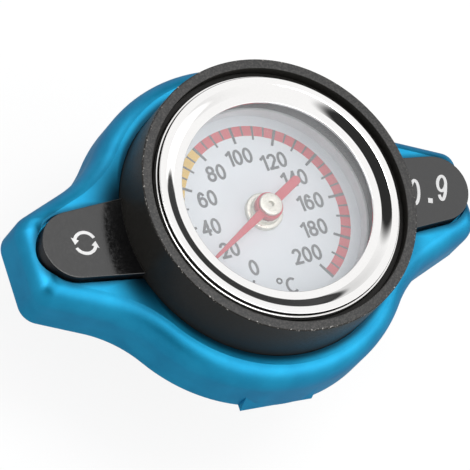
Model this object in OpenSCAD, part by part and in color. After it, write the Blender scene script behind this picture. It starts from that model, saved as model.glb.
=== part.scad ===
// Radiator pressure cap with a bimetal dial thermometer.
// Millimetres. The cap's axis is Z, its wings lie along X, and the origin is the
// centre of the rim gasket's underside, which rests on the filler neck.

/* [Cover] */
// Radius of the cover's round body
cover_r = 27.25; // [26.5:0.05:28]
// Height of the cover from its lower rim to its top
cover_h = 10.9; // [10.2:0.1:12]
// Height of the cover's rounded shoulder
shoulder_h = 5; // [3:0.1:5.4]
// Flat land between the shoulder and the housing
land_w = 1.6; // [1.2:0.05:2]
// Angle of the shoulder's curve at which that land cuts it, degrees
shoulder_cut = 75; // [65:1:85]
// How far each wing reaches past the housing's tab
wing_margin = 1.5; // [1:0.1:3]
// Half width of a wing at its end, before its corners are rounded
wing_end_half = 6.7; // [6.4:0.1:8]
// Angle of a wing's sides to the wings' centre line
wing_taper = 22; // [20:0.5:24]
// Rounding of a wing's two corners
wing_corner_r = 3.4; // [2.5:0.1:4]
// Smallest corner rounding, near the top of the shoulder
wing_corner_min = 2.2; // [1:0.1:2.4]
// Hollow blend between a wing's side and the round body
wing_blend_r = 20; // [15:0.5:25]
// Radial thickness of the cover's skirt
cover_wall = 3.85; // [3.4:0.05:4.2]
// Thickness of the web under the housing
cover_web = 1.6; // [1.2:0.1:2.5]
// Depth of the pocket that the housing sits in
pocket_depth = 1.9; // [1.5:0.1:2.2]
// Width of the flat lugs at the front and back of the rim
rim_lug_w = 12.8; // [10:0.2:16]
// Height of the rim lugs, up to where they have run into the wall
rim_lug_h = 5.6; // [4:0.2:6]
// How far each rim lug's face leans back over its height
rim_lug_lean = 1.5; // [1.2:0.1:2]
// How far the foot of each rim lug's face lies inside the round body's radius
rim_lug_inset = 0.15; // [0:0.05:0.3]
// How far each rim lug sits left of the middle, seen from outside
rim_lug_shift = 1.2; // [0:0.1:2]

/* [Housing] */
// Outer radius of the black housing
housing_r = 23; // [22.5:0.05:23.5]
// Height of the housing above the cover's top
housing_h = 10; // [9.7:0.1:11]
// Width of the ring face at the top of the housing
ring_w = 1.6; // [1.2:0.05:1.9]
// Chamfer on the ring face's outer edge
ring_chamfer = 0.2; // [0.1:0.05:0.4]
// Width of the groove between the ring face and the bezel
groove_w = 0.9; // [0.6:0.05:1.2]
// Depth of that groove
groove_depth = 2; // [1.4:0.1:3]
// Thickness of the housing's floor
housing_floor = 1.2; // [0.9:0.05:1.5]
// Drop from the ring face to the tabs' top
tab_drop = 8.66; // [8.2:0.02:9]
// Half width of a tab where it leaves the housing
tab_root_half = 6.33; // [6:0.05:6.6]
// Narrowing of a tab on each side
tab_taper = 4.8; // [3:0.2:6]
// Distance from the axis to a tab's tip
tab_reach = 37.6; // [36.5:0.1:39]

/* [Fasteners] */
// Radius of the screws that hold the tabs
screw_r = 1.5; // [1.2:0.1:1.8]
// Radius of a screw's head
screw_head_r = 2.7; // [2.4:0.1:3]
// Height of a screw's head
screw_head_h = 1.6; // [1.2:0.1:2]
// Length of screw in the tab
screw_bite = 2; // [1.4:0.1:2.4]
// Web of the cover under a screw's head
screw_web = 3.2; // [2.4:0.1:4]
// Distance from a tab's tip to its screw
screw_inset = 7.2; // [6:0.1:9]
// Width of the hexagon socket in a screw's head
screw_socket = 2; // [1.5:0.1:2.4]

/* [Gauge] */
// Width of the bezel from its outer edge to the glass opening
bezel_w = 4.5; // [4:0.05:5]
// Thickness of the bezel's sheet
bezel_t = 0.4; // [0.3:0.05:0.5]
// Drop from the ring face to the bezel's crest
bezel_drop = 0.3; // [0.1:0.05:0.5]
// Drop from the ring face to the bezel's inner lip
lip_drop = 1.1; // [0.9:0.05:1.4]
// Width of the flat inner lip
lip_w = 1.4; // [1:0.05:1.6]
// Width of the cone between the lip and the crown
cone_w = 1.45; // [1.2:0.05:1.6]
// Rise of that cone
cone_rise = 0.7; // [0.5:0.05:0.8]
// Radius of the bezel's rolled outer edge
bead_r = 0.85; // [0.6:0.05:0.95]
// Height of the bezel's skirt
bezel_skirt = 5; // [4:0.1:6]
// Thickness of the glass
lens_t = 1.5; // [1:0.1:2]
// Thickness of the gasket under the glass
lens_gasket_t = 1.3; // [0.8:0.1:1.6]
// Set-back of the gasket from the dial's wall
gasket_set = 0.4; // [0.2:0.05:0.6]
// Thickness of the gasket's lining, which hangs in a step of the dial's wall
lining_t = 0.55; // [0.4:0.05:0.7]
// Height of that lining
lining_h = 1; // [0.6:0.1:1.4]
// Wall of the gauge's case
case_wall = 0.8; // [0.6:0.05:1]
// Floor of the gauge's case
case_floor = 1; // [0.8:0.05:1.1]
// Depth of the dial under the ring face
dial_depth = 7.5; // [7.2:0.05:7.9]
// Thickness of the dial
dial_t = 0.6; // [0.4:0.05:0.6]
// Step from the glass opening out to the wall round the dial
dial_wall_step = 0.6; // [0.3:0.05:0.9]
// Turn of the dial against the wings, degrees
dial_turn = 4; // [0:0.5:8]

/* [Pointer] */
// Height of the needle above the dial
pointer_rise = 2.3; // [2:0.05:2.6]
// Thickness of the needle
needle_t = 0.6; // [0.4:0.05:0.7]
// Length of the needle from the axis
needle_len = 14.2; // [12:0.1:15]
// Width of the needle at its hub
needle_root_w = 1.6; // [1.2:0.05:2]
// Width of the needle at its tip
needle_tip_w = 0.5; // [0.3:0.05:0.8]
// Length of the tail from the axis
tail_len = 7.6; // [5:0.1:9]
// Width of the tail
tail_w = 1.5; // [1.2:0.05:2]
// Radius of the pointer's hub
hub_r = 2.25; // [2:0.05:2.6]
// How far the hub reaches under the needle
hub_drop = 0.3; // [0.2:0.05:0.5]
// Radius of the silver cap on the hub
cap_r = 1.9; // [1.5:0.05:2]
// Height of that cap
cap_h = 0.6; // [0.4:0.05:0.7]
// Radius of the dimple in the cap
dimple_r = 0.5; // [0.3:0.05:0.7]
// Radius of the pointer's shaft
shaft_r = 0.6; // [0.4:0.05:0.8]
// Radius of the boss on the dial
boss_r = 3.1; // [2.8:0.05:3.5]
// Height of the boss's flange
boss_flange = 0.8; // [0.5:0.05:1.2]
// Radius of the boss above its flange
boss_neck_r = 2.4; // [1.8:0.05:2.6]
// Temperature that the pointer shows at rest, degrees Celsius
rest_reading = 22; // [0:1:200]
// Highest temperature on the dial
scale_top = 200; // [120:10:300]
// Sweep of the scale, degrees
scale_sweep = 300; // [240:5:320]

/* [Stem] */
// Radius of the stem's clamped shank
shank_r = 4; // [3.8:0.05:4.3]
// Radius of the flange at the top of the stem
stem_flange_r = 6.5; // [5.5:0.1:8]
// Thickness of that flange
stem_flange_t = 0.7; // [0.5:0.05:0.8]
// Outer radius of the probe
probe_r = 3; // [2.8:0.05:3.2]
// Wall of the probe
probe_wall = 0.8; // [0.6:0.05:1]
// Length of the probe under the retaining ring
probe_tail = 14.5; // [12:0.5:25]
// Width across the nut's flats
nut_flats = 10.4; // [10:0.1:11]
// Height of the nut
nut_h = 1.9; // [1.5:0.1:2.1]
// Thickness of the washer over the nut
washer_t = 0.5; // [0.3:0.05:0.6]
// Radius of the washer
washer_r = 5.6; // [5:0.1:5.9]
// Mean radius of the bimetal coil
bimetal_r = 1.4; // [1.2:0.05:1.5]
// Thickness of the bimetal strip
bimetal_wire = 0.5; // [0.3:0.05:0.6]
// Number of turns of the bimetal coil
bimetal_turns = 9; // [6:1:11]
// Height of the bimetal coil
bimetal_h = 12; // [11:0.5:14]

/* [Cap shell] */
// Sheet thickness of the pressed shell
shell_t = 1; // [0.8:0.05:1.2]
// Depth of the shell's rim above the cover's rim
shell_inset = 0.4; // [0.2:0.05:0.8]
// Angle that each cam lug spans
lug_angle = 46; // [36:1:56]
// How far each cam lug reaches inwards
lug_reach = 3.4; // [2.5:0.1:3.6]
// Thickness of the rim gasket
gasket_t = 1.6; // [1.2:0.1:2]
// Width of the rim gasket
gasket_w = 4.7; // [4:0.1:5]
// Thickness of the diaphragm
diaphragm_t = 0.5; // [0.4:0.05:0.7]

/* [Valve] */
// Wall of the valve's sleeve
sleeve_wall = 1.4; // [1.2:0.05:1.6]
// Height of the sleeve under the valve plate
sleeve_drop = 2; // [1.8:0.1:2.4]
// Radius of the return valve's disc
poppet_r = 1.5; // [1.3:0.05:1.6]
// Thickness of that disc
poppet_t = 0.8; // [0.6:0.05:1]
// Radius of the return valve's stem
poppet_stem_r = 0.6; // [0.5:0.05:0.7]
// Travel of the return valve
poppet_travel = 1.2; // [1:0.1:1.4]
// Wire of the return valve's spring
poppet_wire = 0.3; // [0.2:0.05:0.35]
// Number of turns of the return valve's spring
poppet_turns = 3; // [2:0.5:3]
// Wire of the main spring
spring_wire = 1.5; // [1.2:0.05:1.7]
// Number of turns of the main spring
spring_turns = 2.75; // [2:0.25:3]
// Height of the main spring
spring_h = 10.4; // [10:0.1:12]
// Lift of the pressure valve before its sleeve meets the nut
lift = 2.5; // [1.5:0.1:3]
// Thickness of the spring seat
seat_t = 0.8; // [0.6:0.05:1]
// Outer radius of the spring seat's collar, which centres the main spring
collar_r = 9.2; // [8.6:0.05:9.6]
// Depth of that collar
collar_h = 1.6; // [1:0.1:2]
// Thickness of the valve plate
plate_t = 1.2; // [1:0.05:1.5]
// Rim of the valve plate outside the main spring
plate_rim = 1.9; // [1.5:0.05:2.3]
// Thickness of the pressure seal
seal_t = 2.4; // [2.2:0.1:3]
// Width of the pressure seal's face
seal_face_w = 3.2; // [2.8:0.1:3.6]
// How far the pressure seal reaches past the valve plate
seal_overhang = 0.9; // [0.6:0.05:1.2]
// Thickness of the seal retainer
retainer_t = 0.6; // [0.4:0.05:0.7]
// Width of the seal retainer's flange
retainer_w = 1.8; // [1.6:0.05:2]
// Thickness of the retaining ring on the probe
clip_t = 0.6; // [0.5:0.05:0.8]
// How far the retaining ring stands out of the probe
clip_w = 1.2; // [0.9:0.05:1.3]
// Angle of the gap in the retaining ring
clip_slot_angle = 50; // [30:1:90]
// Section radius of the o-ring in the sleeve
o_ring_r = 0.45; // [0.35:0.05:0.5]

/* [Clearances] */
// Gap of a seated piece in its pocket
seat_gap = 0.1; // [0.05:0.05:0.15]
// Gap round the housing's tabs in the cover
tab_gap = 0.35; // [0.2:0.05:0.4]
// Gap between nested gauge pieces
case_gap = 0.05; // [0.03:0.01:0.08]
// Gap of a running fit
run_fit = 0.05; // [0.02:0.01:0.08]
// Gap between pieces that move past each other
move_gap = 0.3; // [0.3:0.05:0.4]
// Gap between the shell and the swivelling pack
swivel_gap = 0.05; // [0.05:0.05:0.15]
// Gap of a clearance hole round a fastener
hole_gap = 0.2; // [0.1:0.05:0.3]

/* [Hidden] */
$fn = 96;

// Overlap of a cut past the face that it opens
cut = 1;
// Crown of the cover's shoulder that is cut flat
crown = 0.02;
// Steps of the cover's outline and of its shoulder
arc_steps = 10;
shoulder_steps = 7;
// Rings of a coil in one turn, and sides of its wire
coil_rings = 16;
coil_sides = 6;

// Heights, from the rim gasket's underside up
shell_under_z = gasket_t + diaphragm_t + swivel_gap;
recess_z = shell_under_z + shell_t;
pocket_z = recess_z + cover_web;
cover_top_z = pocket_z + pocket_depth;
cover_low_z = cover_top_z - cover_h;
ring_top_z = cover_top_z + housing_h;
tab_top_z = ring_top_z - tab_drop;
floor_top_z = pocket_z + housing_floor;
case_floor_z = floor_top_z + case_floor;
dial_top_z = ring_top_z - dial_depth;
dial_low_z = dial_top_z - dial_t;
lip_top_z = ring_top_z - lip_drop;
lens_top_z = lip_top_z - bezel_t;
lens_low_z = lens_top_z - lens_t;
lens_gasket_z = lens_low_z - lens_gasket_t;
lining_z = lens_gasket_z - lining_h;
needle_z = dial_top_z + pointer_rise;
hub_low_z = needle_z - hub_drop;
hub_top_z = needle_z + needle_t;
boss_top_z = hub_low_z - move_gap;

// Heights of the valve, from the diaphragm down
seat_top_z = gasket_t;
spring_top_z = seat_top_z - seat_t;
plate_top_z = spring_top_z - spring_h;
plate_low_z = plate_top_z - plate_t;
seal_low_z = plate_low_z - seal_t;
sleeve_low_z = plate_low_z - sleeve_drop;
clip_top_z = sleeve_low_z - run_fit;
clip_low_z = clip_top_z - clip_t;
probe_low_z = clip_low_z - probe_tail;
probe_floor_z = probe_low_z + probe_r;
nut_top_z = shell_under_z - washer_t;
nut_low_z = nut_top_z - nut_h;
sleeve_top_z = nut_low_z - lift - move_gap;
bimetal_top_z = probe_floor_z + bimetal_h;
poppet_spring_h = poppet_travel + (poppet_turns + 3) * poppet_wire;
poppet_clip_z = plate_top_z + poppet_spring_h;

// Radii of the gauge, from the housing inwards
bore_r = housing_r - ring_w;
bezel_r = bore_r - groove_w;
case_bore_r = bezel_r + case_gap;
case_r = bezel_r - bezel_t - case_gap;
case_in_r = case_r - case_wall;
lens_r = case_in_r - case_gap;
opening_r = bezel_r - bezel_w;
dial_wall_r = opening_r + dial_wall_step;
lining_in_r = dial_wall_r + gasket_set;
lining_r = lining_in_r + lining_t;

// Radii of the cap, from the cover inwards
recess_r = cover_r - cover_wall;
shell_r = recess_r - hole_gap;
shell_in_r = shell_r - shell_t;
diaphragm_r = shell_in_r - move_gap;
gasket_r = diaphragm_r - shell_t;
gasket_in_r = gasket_r - gasket_w;
lug_in_r = shell_in_r - lug_reach;
shell_low_z = cover_low_z + shell_inset;

// Radii of the valve, from the probe outwards
probe_bore_r = probe_r - probe_wall;
sleeve_in_r = probe_r + run_fit;
sleeve_r = sleeve_in_r + sleeve_wall;
poppet_x = sleeve_r + 2 * move_gap + poppet_r;
poppet_hole_r = poppet_stem_r + run_fit;
poppet_clip_r = poppet_r - run_fit;
poppet_coil_r = poppet_stem_r + move_gap + poppet_wire / 2;
nut_corner_r = nut_flats / 2 / cos(30);
pack_in_r = nut_corner_r + 2 * move_gap;
collar_in_r = collar_r - seat_t;
// A coil's straight steps pass inside its mean radius
step_inset = 1 - cos(180 / coil_rings);
spring_r = (collar_r + move_gap + spring_wire / 2) / (1 - step_inset);
plate_r = spring_r + spring_wire / 2 + plate_rim;
seal_r = plate_r + seal_overhang;
seal_face_r = seal_r - seal_face_w;
retainer_r = seal_face_r - move_gap;
retainer_in_r = retainer_r - retainer_w;
seal_in_r = retainer_in_r + retainer_t + case_gap;
retainer_top_z = seal_low_z + retainer_t + move_gap;
clip_r = probe_r + clip_w;
clip_groove_r = probe_r - probe_wall / 2;
o_ring_z = plate_low_z + plate_t / 2;
o_ring_mid_r = probe_r + run_fit + o_ring_r;
o_ring_groove_h = 2 * o_ring_r + 2 * run_fit;

// The shoulder and the wings
shoulder_w = cover_r - housing_r - land_w;
shoulder_rx = shoulder_w / (1 - cos(shoulder_cut));
shoulder_rz = shoulder_h / sin(shoulder_cut);
wing_reach = tab_reach + wing_margin;
screw_x = tab_reach - screw_inset;
screw_top_z = pocket_z + screw_bite;
screw_head_z = pocket_z - screw_web;
rest_angle = dial_turn + 90 + scale_sweep / 2 - scale_sweep * rest_reading / scale_top;

function arc_points(c, r, from, to, steps) =
    [for (i = [0:steps]) let (a = from + (to - from) * i / steps) c + r * [cos(a), sin(a)]];

// One quarter of the cover's outline, drawn in by the given distance
function cover_quarter(inset) =
    let (
        r = cover_r - inset,
        blend = wing_blend_r + inset,
        reach = wing_reach - inset,
        side = wing_end_half * cos(wing_taper) + wing_reach * sin(wing_taper) - inset,
        corner = max(wing_corner_r - inset, wing_corner_min),
        normal = [sin(wing_taper), cos(wing_taper)],
        along = [cos(wing_taper), -sin(wing_taper)],
        centre = normal * (side + blend) + along * sqrt(pow(r + blend, 2) - pow(side + blend, 2)),
        turn = atan2(centre.y, centre.x),
        corner_x = reach - corner,
        corner_y = (side - corner - sin(wing_taper) * corner_x) / cos(wing_taper)
    )
    concat(
        arc_points([0, 0], r, 90, turn, arc_steps),
        arc_points(centre, blend, turn + 180, 270 - wing_taper, arc_steps),
        arc_points([corner_x, corner_y], corner, 90 - wing_taper, 0, arc_steps)
    );

// The whole outline, anticlockwise, with no point given twice
function cover_outline(inset) =
    let (
        quarter = cover_quarter(inset),
        last = len(quarter) - 1,
        right_back = [for (i = [last:-1:0]) quarter[i]],
        left_back = [for (i = [1:last]) [-quarter[i].x, quarter[i].y]],
        left_front = [for (i = [last:-1:0]) -quarter[i]],
        right_front = [for (i = [1:last]) [quarter[i].x, -quarter[i].y]]
    )
    concat(right_back, left_back, left_front, right_front);

// Solid through outlines stacked upwards, all with as many points
module loft(layers) {
    rows = len(layers);
    count = len(layers[0]);
    sides = [
        for (row = [0:rows - 2], i = [0:count - 1])
        let (a = row * count + i, b = row * count + (i + 1) % count)
        each [[a, a + count, b], [b, a + count, b + count]]
    ];
    base = [[for (i = [0:count - 1]) i]];
    top = [[for (i = [count - 1:-1:0]) (rows - 1) * count + i]];
    polyhedron([for (layer = layers) each layer], concat(base, top, sides));
}

function at_height(outline, z) = [for (p = outline) [p.x, p.y, z]];

// The front rim lug, whose leaning face runs into the round wall
module rim_lug() {
    face_y = rim_lug_inset - cover_r;
    translate([-rim_lug_shift - rim_lug_w / 2, 0, cover_low_z]) rotate([90, 0, 90])
        linear_extrude(rim_lug_w) polygon([
            [-recess_r, -cut],
            [-recess_r, rim_lug_h],
            [face_y + rim_lug_lean, rim_lug_h],
            [face_y, 0],
            [face_y, -cut]
        ]);
}

// The cover's outside, lofted past its top and its rim and then cut flat at both
module cover_body() {
    rise = [for (i = [0:shoulder_steps]) shoulder_cut * i / shoulder_steps];
    intersection() {
        union() {
            loft(concat(
                [at_height(cover_outline(0), cover_low_z - cut)],
                [for (a = rise) at_height(
                    cover_outline(shoulder_rx * (1 - cos(a))),
                    cover_top_z + crown - shoulder_rz * (sin(shoulder_cut) - sin(a))
                )]
            ));
            for (turn = [0, 180]) rotate(turn) rim_lug();
        }
        translate([-2 * wing_reach, -2 * cover_r, cover_low_z]) cube([4 * wing_reach, 4 * cover_r, cover_h]);
    }
}

// Outline of the housing's two tabs, grown by a gap
module tab_outline(gap) {
    slope = tan(tab_taper);
    // Radius of the round end that meets both sides smoothly
    end_r = (tab_root_half - slope * (tab_reach - housing_r)) / (1 / cos(tab_taper) - slope);
    end_x = tab_reach - end_r;
    meet = [end_x + end_r * sin(tab_taper), end_r * cos(tab_taper)];
    root = [0, tab_root_half + slope * housing_r];
    grow = gap * [sin(tab_taper), cos(tab_taper)];
    for (side = [0, 1]) mirror([side, 0]) {
        polygon([root + grow, meet + grow, [meet.x + grow.x, -meet.y - grow.y], [0, -root.y - grow.y]]);
        translate([end_x, 0]) circle(end_r + gap);
    }
}

// Tube of the given radii between two heights
module tube(r_out, r_in, low, high) {
    rotate_extrude() polygon([[r_in, low], [r_out, low], [r_out, high], [r_in, high]]);
}

// Solid of revolution between two heights
module disc(r, low, high) {
    translate([0, 0, low]) cylinder(r = r, h = high - low);
}

// A coil's path as angle and height: a straight end, the turns and another straight end
function coil_path(turns, wire, low, high) =
    let (steps = round(turns * coil_rings), rise = high - low - 2 * wire)
    concat(
        [[0, low]],
        [for (i = [0:steps]) [360 * turns * i / steps, low + wire + rise * i / steps]],
        [[360 * turns, high]]
    );

function coil_point(r, p) = [r * cos(p[0]), r * sin(p[0]), p[1]];
function unit(v) = v / norm(v);

// Rings of wire along a coil's path, each square to the path
function coil_ring_points(r, wire, path) =
    let (last = len(path) - 1)
    [for (k = [0:last])
        let (
            here = coil_point(r, path[k]),
            before = k == 0 ? here - [0, 0, 1] : coil_point(r, path[k - 1]),
            after = k == last ? here + [0, 0, 1] : coil_point(r, path[k + 1]),
            tangent = unit(unit(here - before) + unit(after - here)),
            out = [cos(path[k][0]), sin(path[k][0]), 0],
            wide = unit(out - tangent * (out * tangent)),
            tall = cross(tangent, wide)
        )
        each [for (s = [0:coil_sides - 1])
            let (a = 360 * s / coil_sides)
            here + wire / 2 * (wide * cos(a) + tall * sin(a))]
    ];

// Least gap of a coil to itself, half a turn or more along its path
function coil_gap(r, wire, path) =
    let (points = [for (p = path) coil_point(r, p)], last = len(points) - 1, apart = coil_rings / 2)
    min([for (i = [0:last - apart], j = [i + apart:last]) norm(points[i] - points[j])]) - wire;

module coil(name, r, wire, turns, low, high) {
    path = coil_path(turns, wire, low, high);
    rings = len(path);
    points = coil_ring_points(r, wire, path);
    sides = [
        for (k = [0:rings - 2], s = [0:coil_sides - 1])
        let (
            a = k * coil_sides + s,
            b = k * coil_sides + (s + 1) % coil_sides
        )
        each [[a, a + coil_sides, b], [b, a + coil_sides, b + coil_sides]]
    ];
    start = [for (s = [1:coil_sides - 2]) [0, s, s + 1]];
    end_row = (rings - 1) * coil_sides;
    end = [for (s = [1:coil_sides - 2]) [end_row, end_row + s + 1, end_row + s]];
    echo(str(name, " least gap to itself, mm"), coil_gap(r, wire, path));
    polyhedron(points, concat(start, end, sides));
}

module wing_cover() {
    color("#1c84b4") difference() {
        cover_body();
        disc(recess_r, cover_low_z - cut, recess_z);
        disc(shank_r + hole_gap, recess_z - cut, pocket_z + cut);
        translate([0, 0, pocket_z]) linear_extrude(pocket_depth + cut) {
            circle(housing_r + seat_gap);
            tab_outline(tab_gap);
        }
        for (side = [-1, 1]) translate([side * screw_x, 0, 0]) {
            disc(screw_r + hole_gap, screw_head_z - cut, pocket_z + cut);
            disc(screw_head_r + hole_gap, cover_low_z - cut, screw_head_z);
        }
    }
}

module gauge_housing() {
    color("#303032") difference() {
        union() {
            rotate_extrude() polygon([
                [0, pocket_z],
                [housing_r, pocket_z],
                [housing_r, ring_top_z - ring_chamfer],
                [housing_r - ring_chamfer, ring_top_z],
                [0, ring_top_z]
            ]);
            translate([0, 0, pocket_z]) linear_extrude(tab_top_z - pocket_z) tab_outline(0);
        }
        disc(bore_r, ring_top_z - groove_depth, ring_top_z + cut);
        disc(case_bore_r, floor_top_z, ring_top_z);
        disc(shank_r + hole_gap, pocket_z - cut, floor_top_z + cut);
        for (side = [-1, 1]) translate([side * screw_x, 0, 0])
            disc(screw_r + case_gap, pocket_z - cut, screw_top_z + move_gap);
    }
}

module housing_screws() {
    color("silver") for (side = [-1, 1]) translate([side * screw_x, 0, 0]) difference() {
        union() {
            disc(screw_head_r, screw_head_z - screw_head_h, screw_head_z);
            disc(screw_r, screw_head_z, screw_top_z);
        }
        translate([0, 0, screw_head_z - screw_head_h])
            cylinder(r = screw_socket / 2 / cos(30), h = screw_head_h, $fn = 6, center = true);
    }
}

module gauge_case() {
    ledge_r = dial_wall_r - case_wall;
    color("#9a9a9c") rotate_extrude() polygon([
        [shank_r + hole_gap, floor_top_z],
        [case_r, floor_top_z],
        [case_r, lens_top_z],
        [case_in_r, lens_top_z],
        [case_in_r, dial_low_z],
        [ledge_r, dial_low_z],
        [ledge_r, case_floor_z],
        [shank_r + hole_gap, case_floor_z]
    ]);
}

module bezel_ring() {
    crest_z = ring_top_z - bezel_drop;
    bead_x = bezel_r - bead_r;
    bead_z = crest_z - bead_r;
    lip_end = [opening_r + lip_w, lip_top_z];
    cone_end = lip_end + [cone_w, cone_rise];
    crown_lean = atan2(crest_z - cone_end.y, bead_x - cone_end.x);
    color("#e8e8ea") rotate_extrude() polygon(concat(
        [[opening_r, lens_top_z], [opening_r, lip_top_z], lip_end, cone_end],
        arc_points([bead_x, bead_z], bead_r, 90 + crown_lean, 0, arc_steps),
        [[bezel_r, ring_top_z - bezel_skirt], [bezel_r - bezel_t, ring_top_z - bezel_skirt]],
        [[bezel_r - bezel_t, lens_top_z]]
    ));
}

module glass_lens() {
    color("#dfeaf0", 0.35) disc(lens_r, lens_low_z, lens_top_z);
}

module lens_gasket() {
    color("#4a4a4c") rotate_extrude() polygon([
        [lining_in_r, lining_z],
        [lining_r, lining_z],
        [lining_r, lens_gasket_z],
        [lens_r, lens_gasket_z],
        [lens_r, lens_low_z],
        [lining_in_r, lens_low_z]
    ]);
}

module dial_ring() {
    step_r = lining_r + case_gap;
    color("#c8cacc") rotate_extrude() polygon([
        [dial_wall_r, dial_top_z],
        [lens_r, dial_top_z],
        [lens_r, lens_gasket_z],
        [step_r, lens_gasket_z],
        [step_r, lining_z],
        [dial_wall_r, lining_z]
    ]);
}

module dial_plate() {
    color("#dce0e3") tube(lens_r, probe_bore_r, dial_low_z, dial_top_z);
}

module shaft_bush() {
    spigot_r = probe_bore_r - case_gap;
    color("#d8d8d4") rotate_extrude() polygon([
        [shaft_r + run_fit, case_floor_z],
        [spigot_r, case_floor_z],
        [spigot_r, dial_top_z],
        [boss_r, dial_top_z],
        [boss_r, dial_top_z + boss_flange],
        [boss_neck_r, dial_top_z + boss_flange],
        [boss_neck_r, boss_top_z],
        [shaft_r + run_fit, boss_top_z]
    ]);
}

module needle_outline() {
    root = needle_root_w / 2;
    tip = needle_tip_w / 2;
    half_tail = tail_w / 2;
    polygon([[0, -root], [needle_len - tip, -tip], [needle_len - tip, tip], [0, root]]);
    translate([needle_len - tip, 0]) circle(tip, $fn = 24);
    tail_x = half_tail - tail_len;
    polygon([[0, -half_tail], [0, half_tail], [tail_x, half_tail], [tail_x, -half_tail]]);
    translate([tail_x, 0]) circle(half_tail, $fn = 48);
}

module pointer() {
    color("#d02a3c") rotate(rest_angle) difference() {
        union() {
            translate([0, 0, needle_z]) linear_extrude(needle_t) needle_outline();
            disc(hub_r, hub_low_z, hub_top_z);
        }
        disc(shaft_r + case_gap, hub_low_z - cut, hub_top_z + cut);
    }
}

module pointer_cap() {
    color("#e4e2d8") difference() {
        disc(cap_r, hub_top_z, hub_top_z + cap_h);
        disc(dimple_r, hub_top_z + cap_h / 2, hub_top_z + cap_h + cut);
    }
}

module pointer_shaft() {
    foot_r = bimetal_r + bimetal_wire;
    color("silver") {
        disc(shaft_r, bimetal_top_z, hub_top_z);
        disc(foot_r, bimetal_top_z, bimetal_top_z + bimetal_wire);
    }
}

module bimetal_coil() {
    color("#b08a4a")
        coil("bimetal_coil", bimetal_r, bimetal_wire, bimetal_turns, probe_floor_z, bimetal_top_z);
}

module stem_tube() {
    color("#c4c4c2") difference() {
        union() {
            disc(stem_flange_r, case_floor_z, case_floor_z + stem_flange_t);
            disc(shank_r, nut_low_z, case_floor_z);
            disc(probe_r, probe_floor_z, nut_low_z + cut);
            translate([0, 0, probe_floor_z]) sphere(probe_r);
        }
        disc(probe_bore_r, probe_floor_z, case_floor_z + stem_flange_t + cut);
        tube(probe_r + cut, clip_groove_r, clip_low_z, clip_top_z);
    }
}

module stem_washer() {
    color("silver") tube(washer_r, shank_r + case_gap, nut_top_z, shell_under_z);
}

module stem_nut() {
    color("#d6c27a") difference() {
        translate([0, 0, nut_low_z]) cylinder(r = nut_corner_r, h = nut_h, $fn = 6);
        disc(shank_r + case_gap, nut_low_z - cut, nut_top_z + cut);
    }
}

module cam_shell() {
    color("#d9d2b4") {
        tube(shell_r, shank_r + hole_gap, shell_under_z, recess_z);
        tube(shell_r, shell_in_r, shell_low_z, shell_under_z);
        for (side = [90, 270]) rotate(side - lug_angle / 2) rotate_extrude(angle = lug_angle)
            polygon([
                [lug_in_r, shell_low_z],
                [shell_in_r + shell_t / 2, shell_low_z],
                [shell_in_r + shell_t / 2, shell_low_z + shell_t],
                [lug_in_r, shell_low_z + shell_t]
            ]);
    }
}

module diaphragm() {
    color("#c9b98a") tube(diaphragm_r, pack_in_r, gasket_t, gasket_t + diaphragm_t);
}

module rim_gasket() {
    color("#2a2a2a") tube(gasket_r, gasket_in_r, 0, gasket_t);
}

module spring_seat() {
    flange_r = spring_r + spring_wire;
    color("#cfc9a8") {
        tube(flange_r, pack_in_r, spring_top_z, seat_top_z);
        tube(collar_r, collar_in_r, spring_top_z - collar_h, spring_top_z);
    }
}

module main_spring() {
    color("#b8bcc0")
        coil("main_spring", spring_r, spring_wire, spring_turns, plate_top_z, spring_top_z);
}

module valve_plate() {
    color("#cfc9a8") difference() {
        union() {
            disc(plate_r, plate_low_z, plate_top_z);
            disc(sleeve_r, sleeve_low_z, sleeve_top_z);
        }
        disc(sleeve_in_r, sleeve_low_z - cut, sleeve_top_z + cut);
        tube(o_ring_mid_r + o_ring_r + run_fit, sleeve_in_r - run_fit,
            o_ring_z - o_ring_groove_h / 2, o_ring_z + o_ring_groove_h / 2);
        translate([poppet_x, 0, 0]) disc(poppet_hole_r, plate_low_z - cut, plate_top_z + cut);
    }
}

module pressure_seal() {
    color("#262626") rotate_extrude() polygon([
        [seal_in_r, retainer_top_z],
        [seal_face_r, retainer_top_z],
        [seal_face_r, seal_low_z],
        [seal_r, seal_low_z],
        [seal_r, plate_low_z],
        [seal_in_r, plate_low_z]
    ]);
}

module seal_retainer() {
    color("#cfc9a8") rotate_extrude() polygon([
        [retainer_in_r, retainer_top_z - retainer_t],
        [retainer_r, retainer_top_z - retainer_t],
        [retainer_r, retainer_top_z],
        [retainer_in_r + retainer_t, retainer_top_z],
        [retainer_in_r + retainer_t, plate_low_z],
        [retainer_in_r, plate_low_z]
    ]);
}

module stem_o_ring() {
    color("#262626") translate([0, 0, o_ring_z]) rotate_extrude()
        translate([o_ring_mid_r, 0]) circle(o_ring_r, $fn = 32);
}

module retaining_ring() {
    color("#8d9196") rotate(clip_slot_angle / 2) rotate_extrude(angle = 360 - clip_slot_angle)
        polygon([
            [clip_groove_r, clip_low_z],
            [clip_r, clip_low_z],
            [clip_r, clip_top_z],
            [clip_groove_r, clip_top_z]
        ]);
}

module vacuum_valve() {
    color("#c7b36a") translate([poppet_x, 0, 0]) {
        disc(poppet_r, plate_low_z - poppet_t, plate_low_z);
        disc(poppet_stem_r, plate_low_z, poppet_clip_z + 2 * poppet_wire);
    }
}

module vacuum_spring() {
    color("#b8bcc0") translate([poppet_x, 0, 0])
        coil("vacuum_spring", poppet_coil_r, poppet_wire, poppet_turns, plate_top_z, poppet_clip_z);
}

module vacuum_clip() {
    color("#c7b36a") translate([poppet_x, 0, 0])
        tube(poppet_clip_r, poppet_stem_r + case_gap, poppet_clip_z, poppet_clip_z + 2 * poppet_wire);
}

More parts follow.
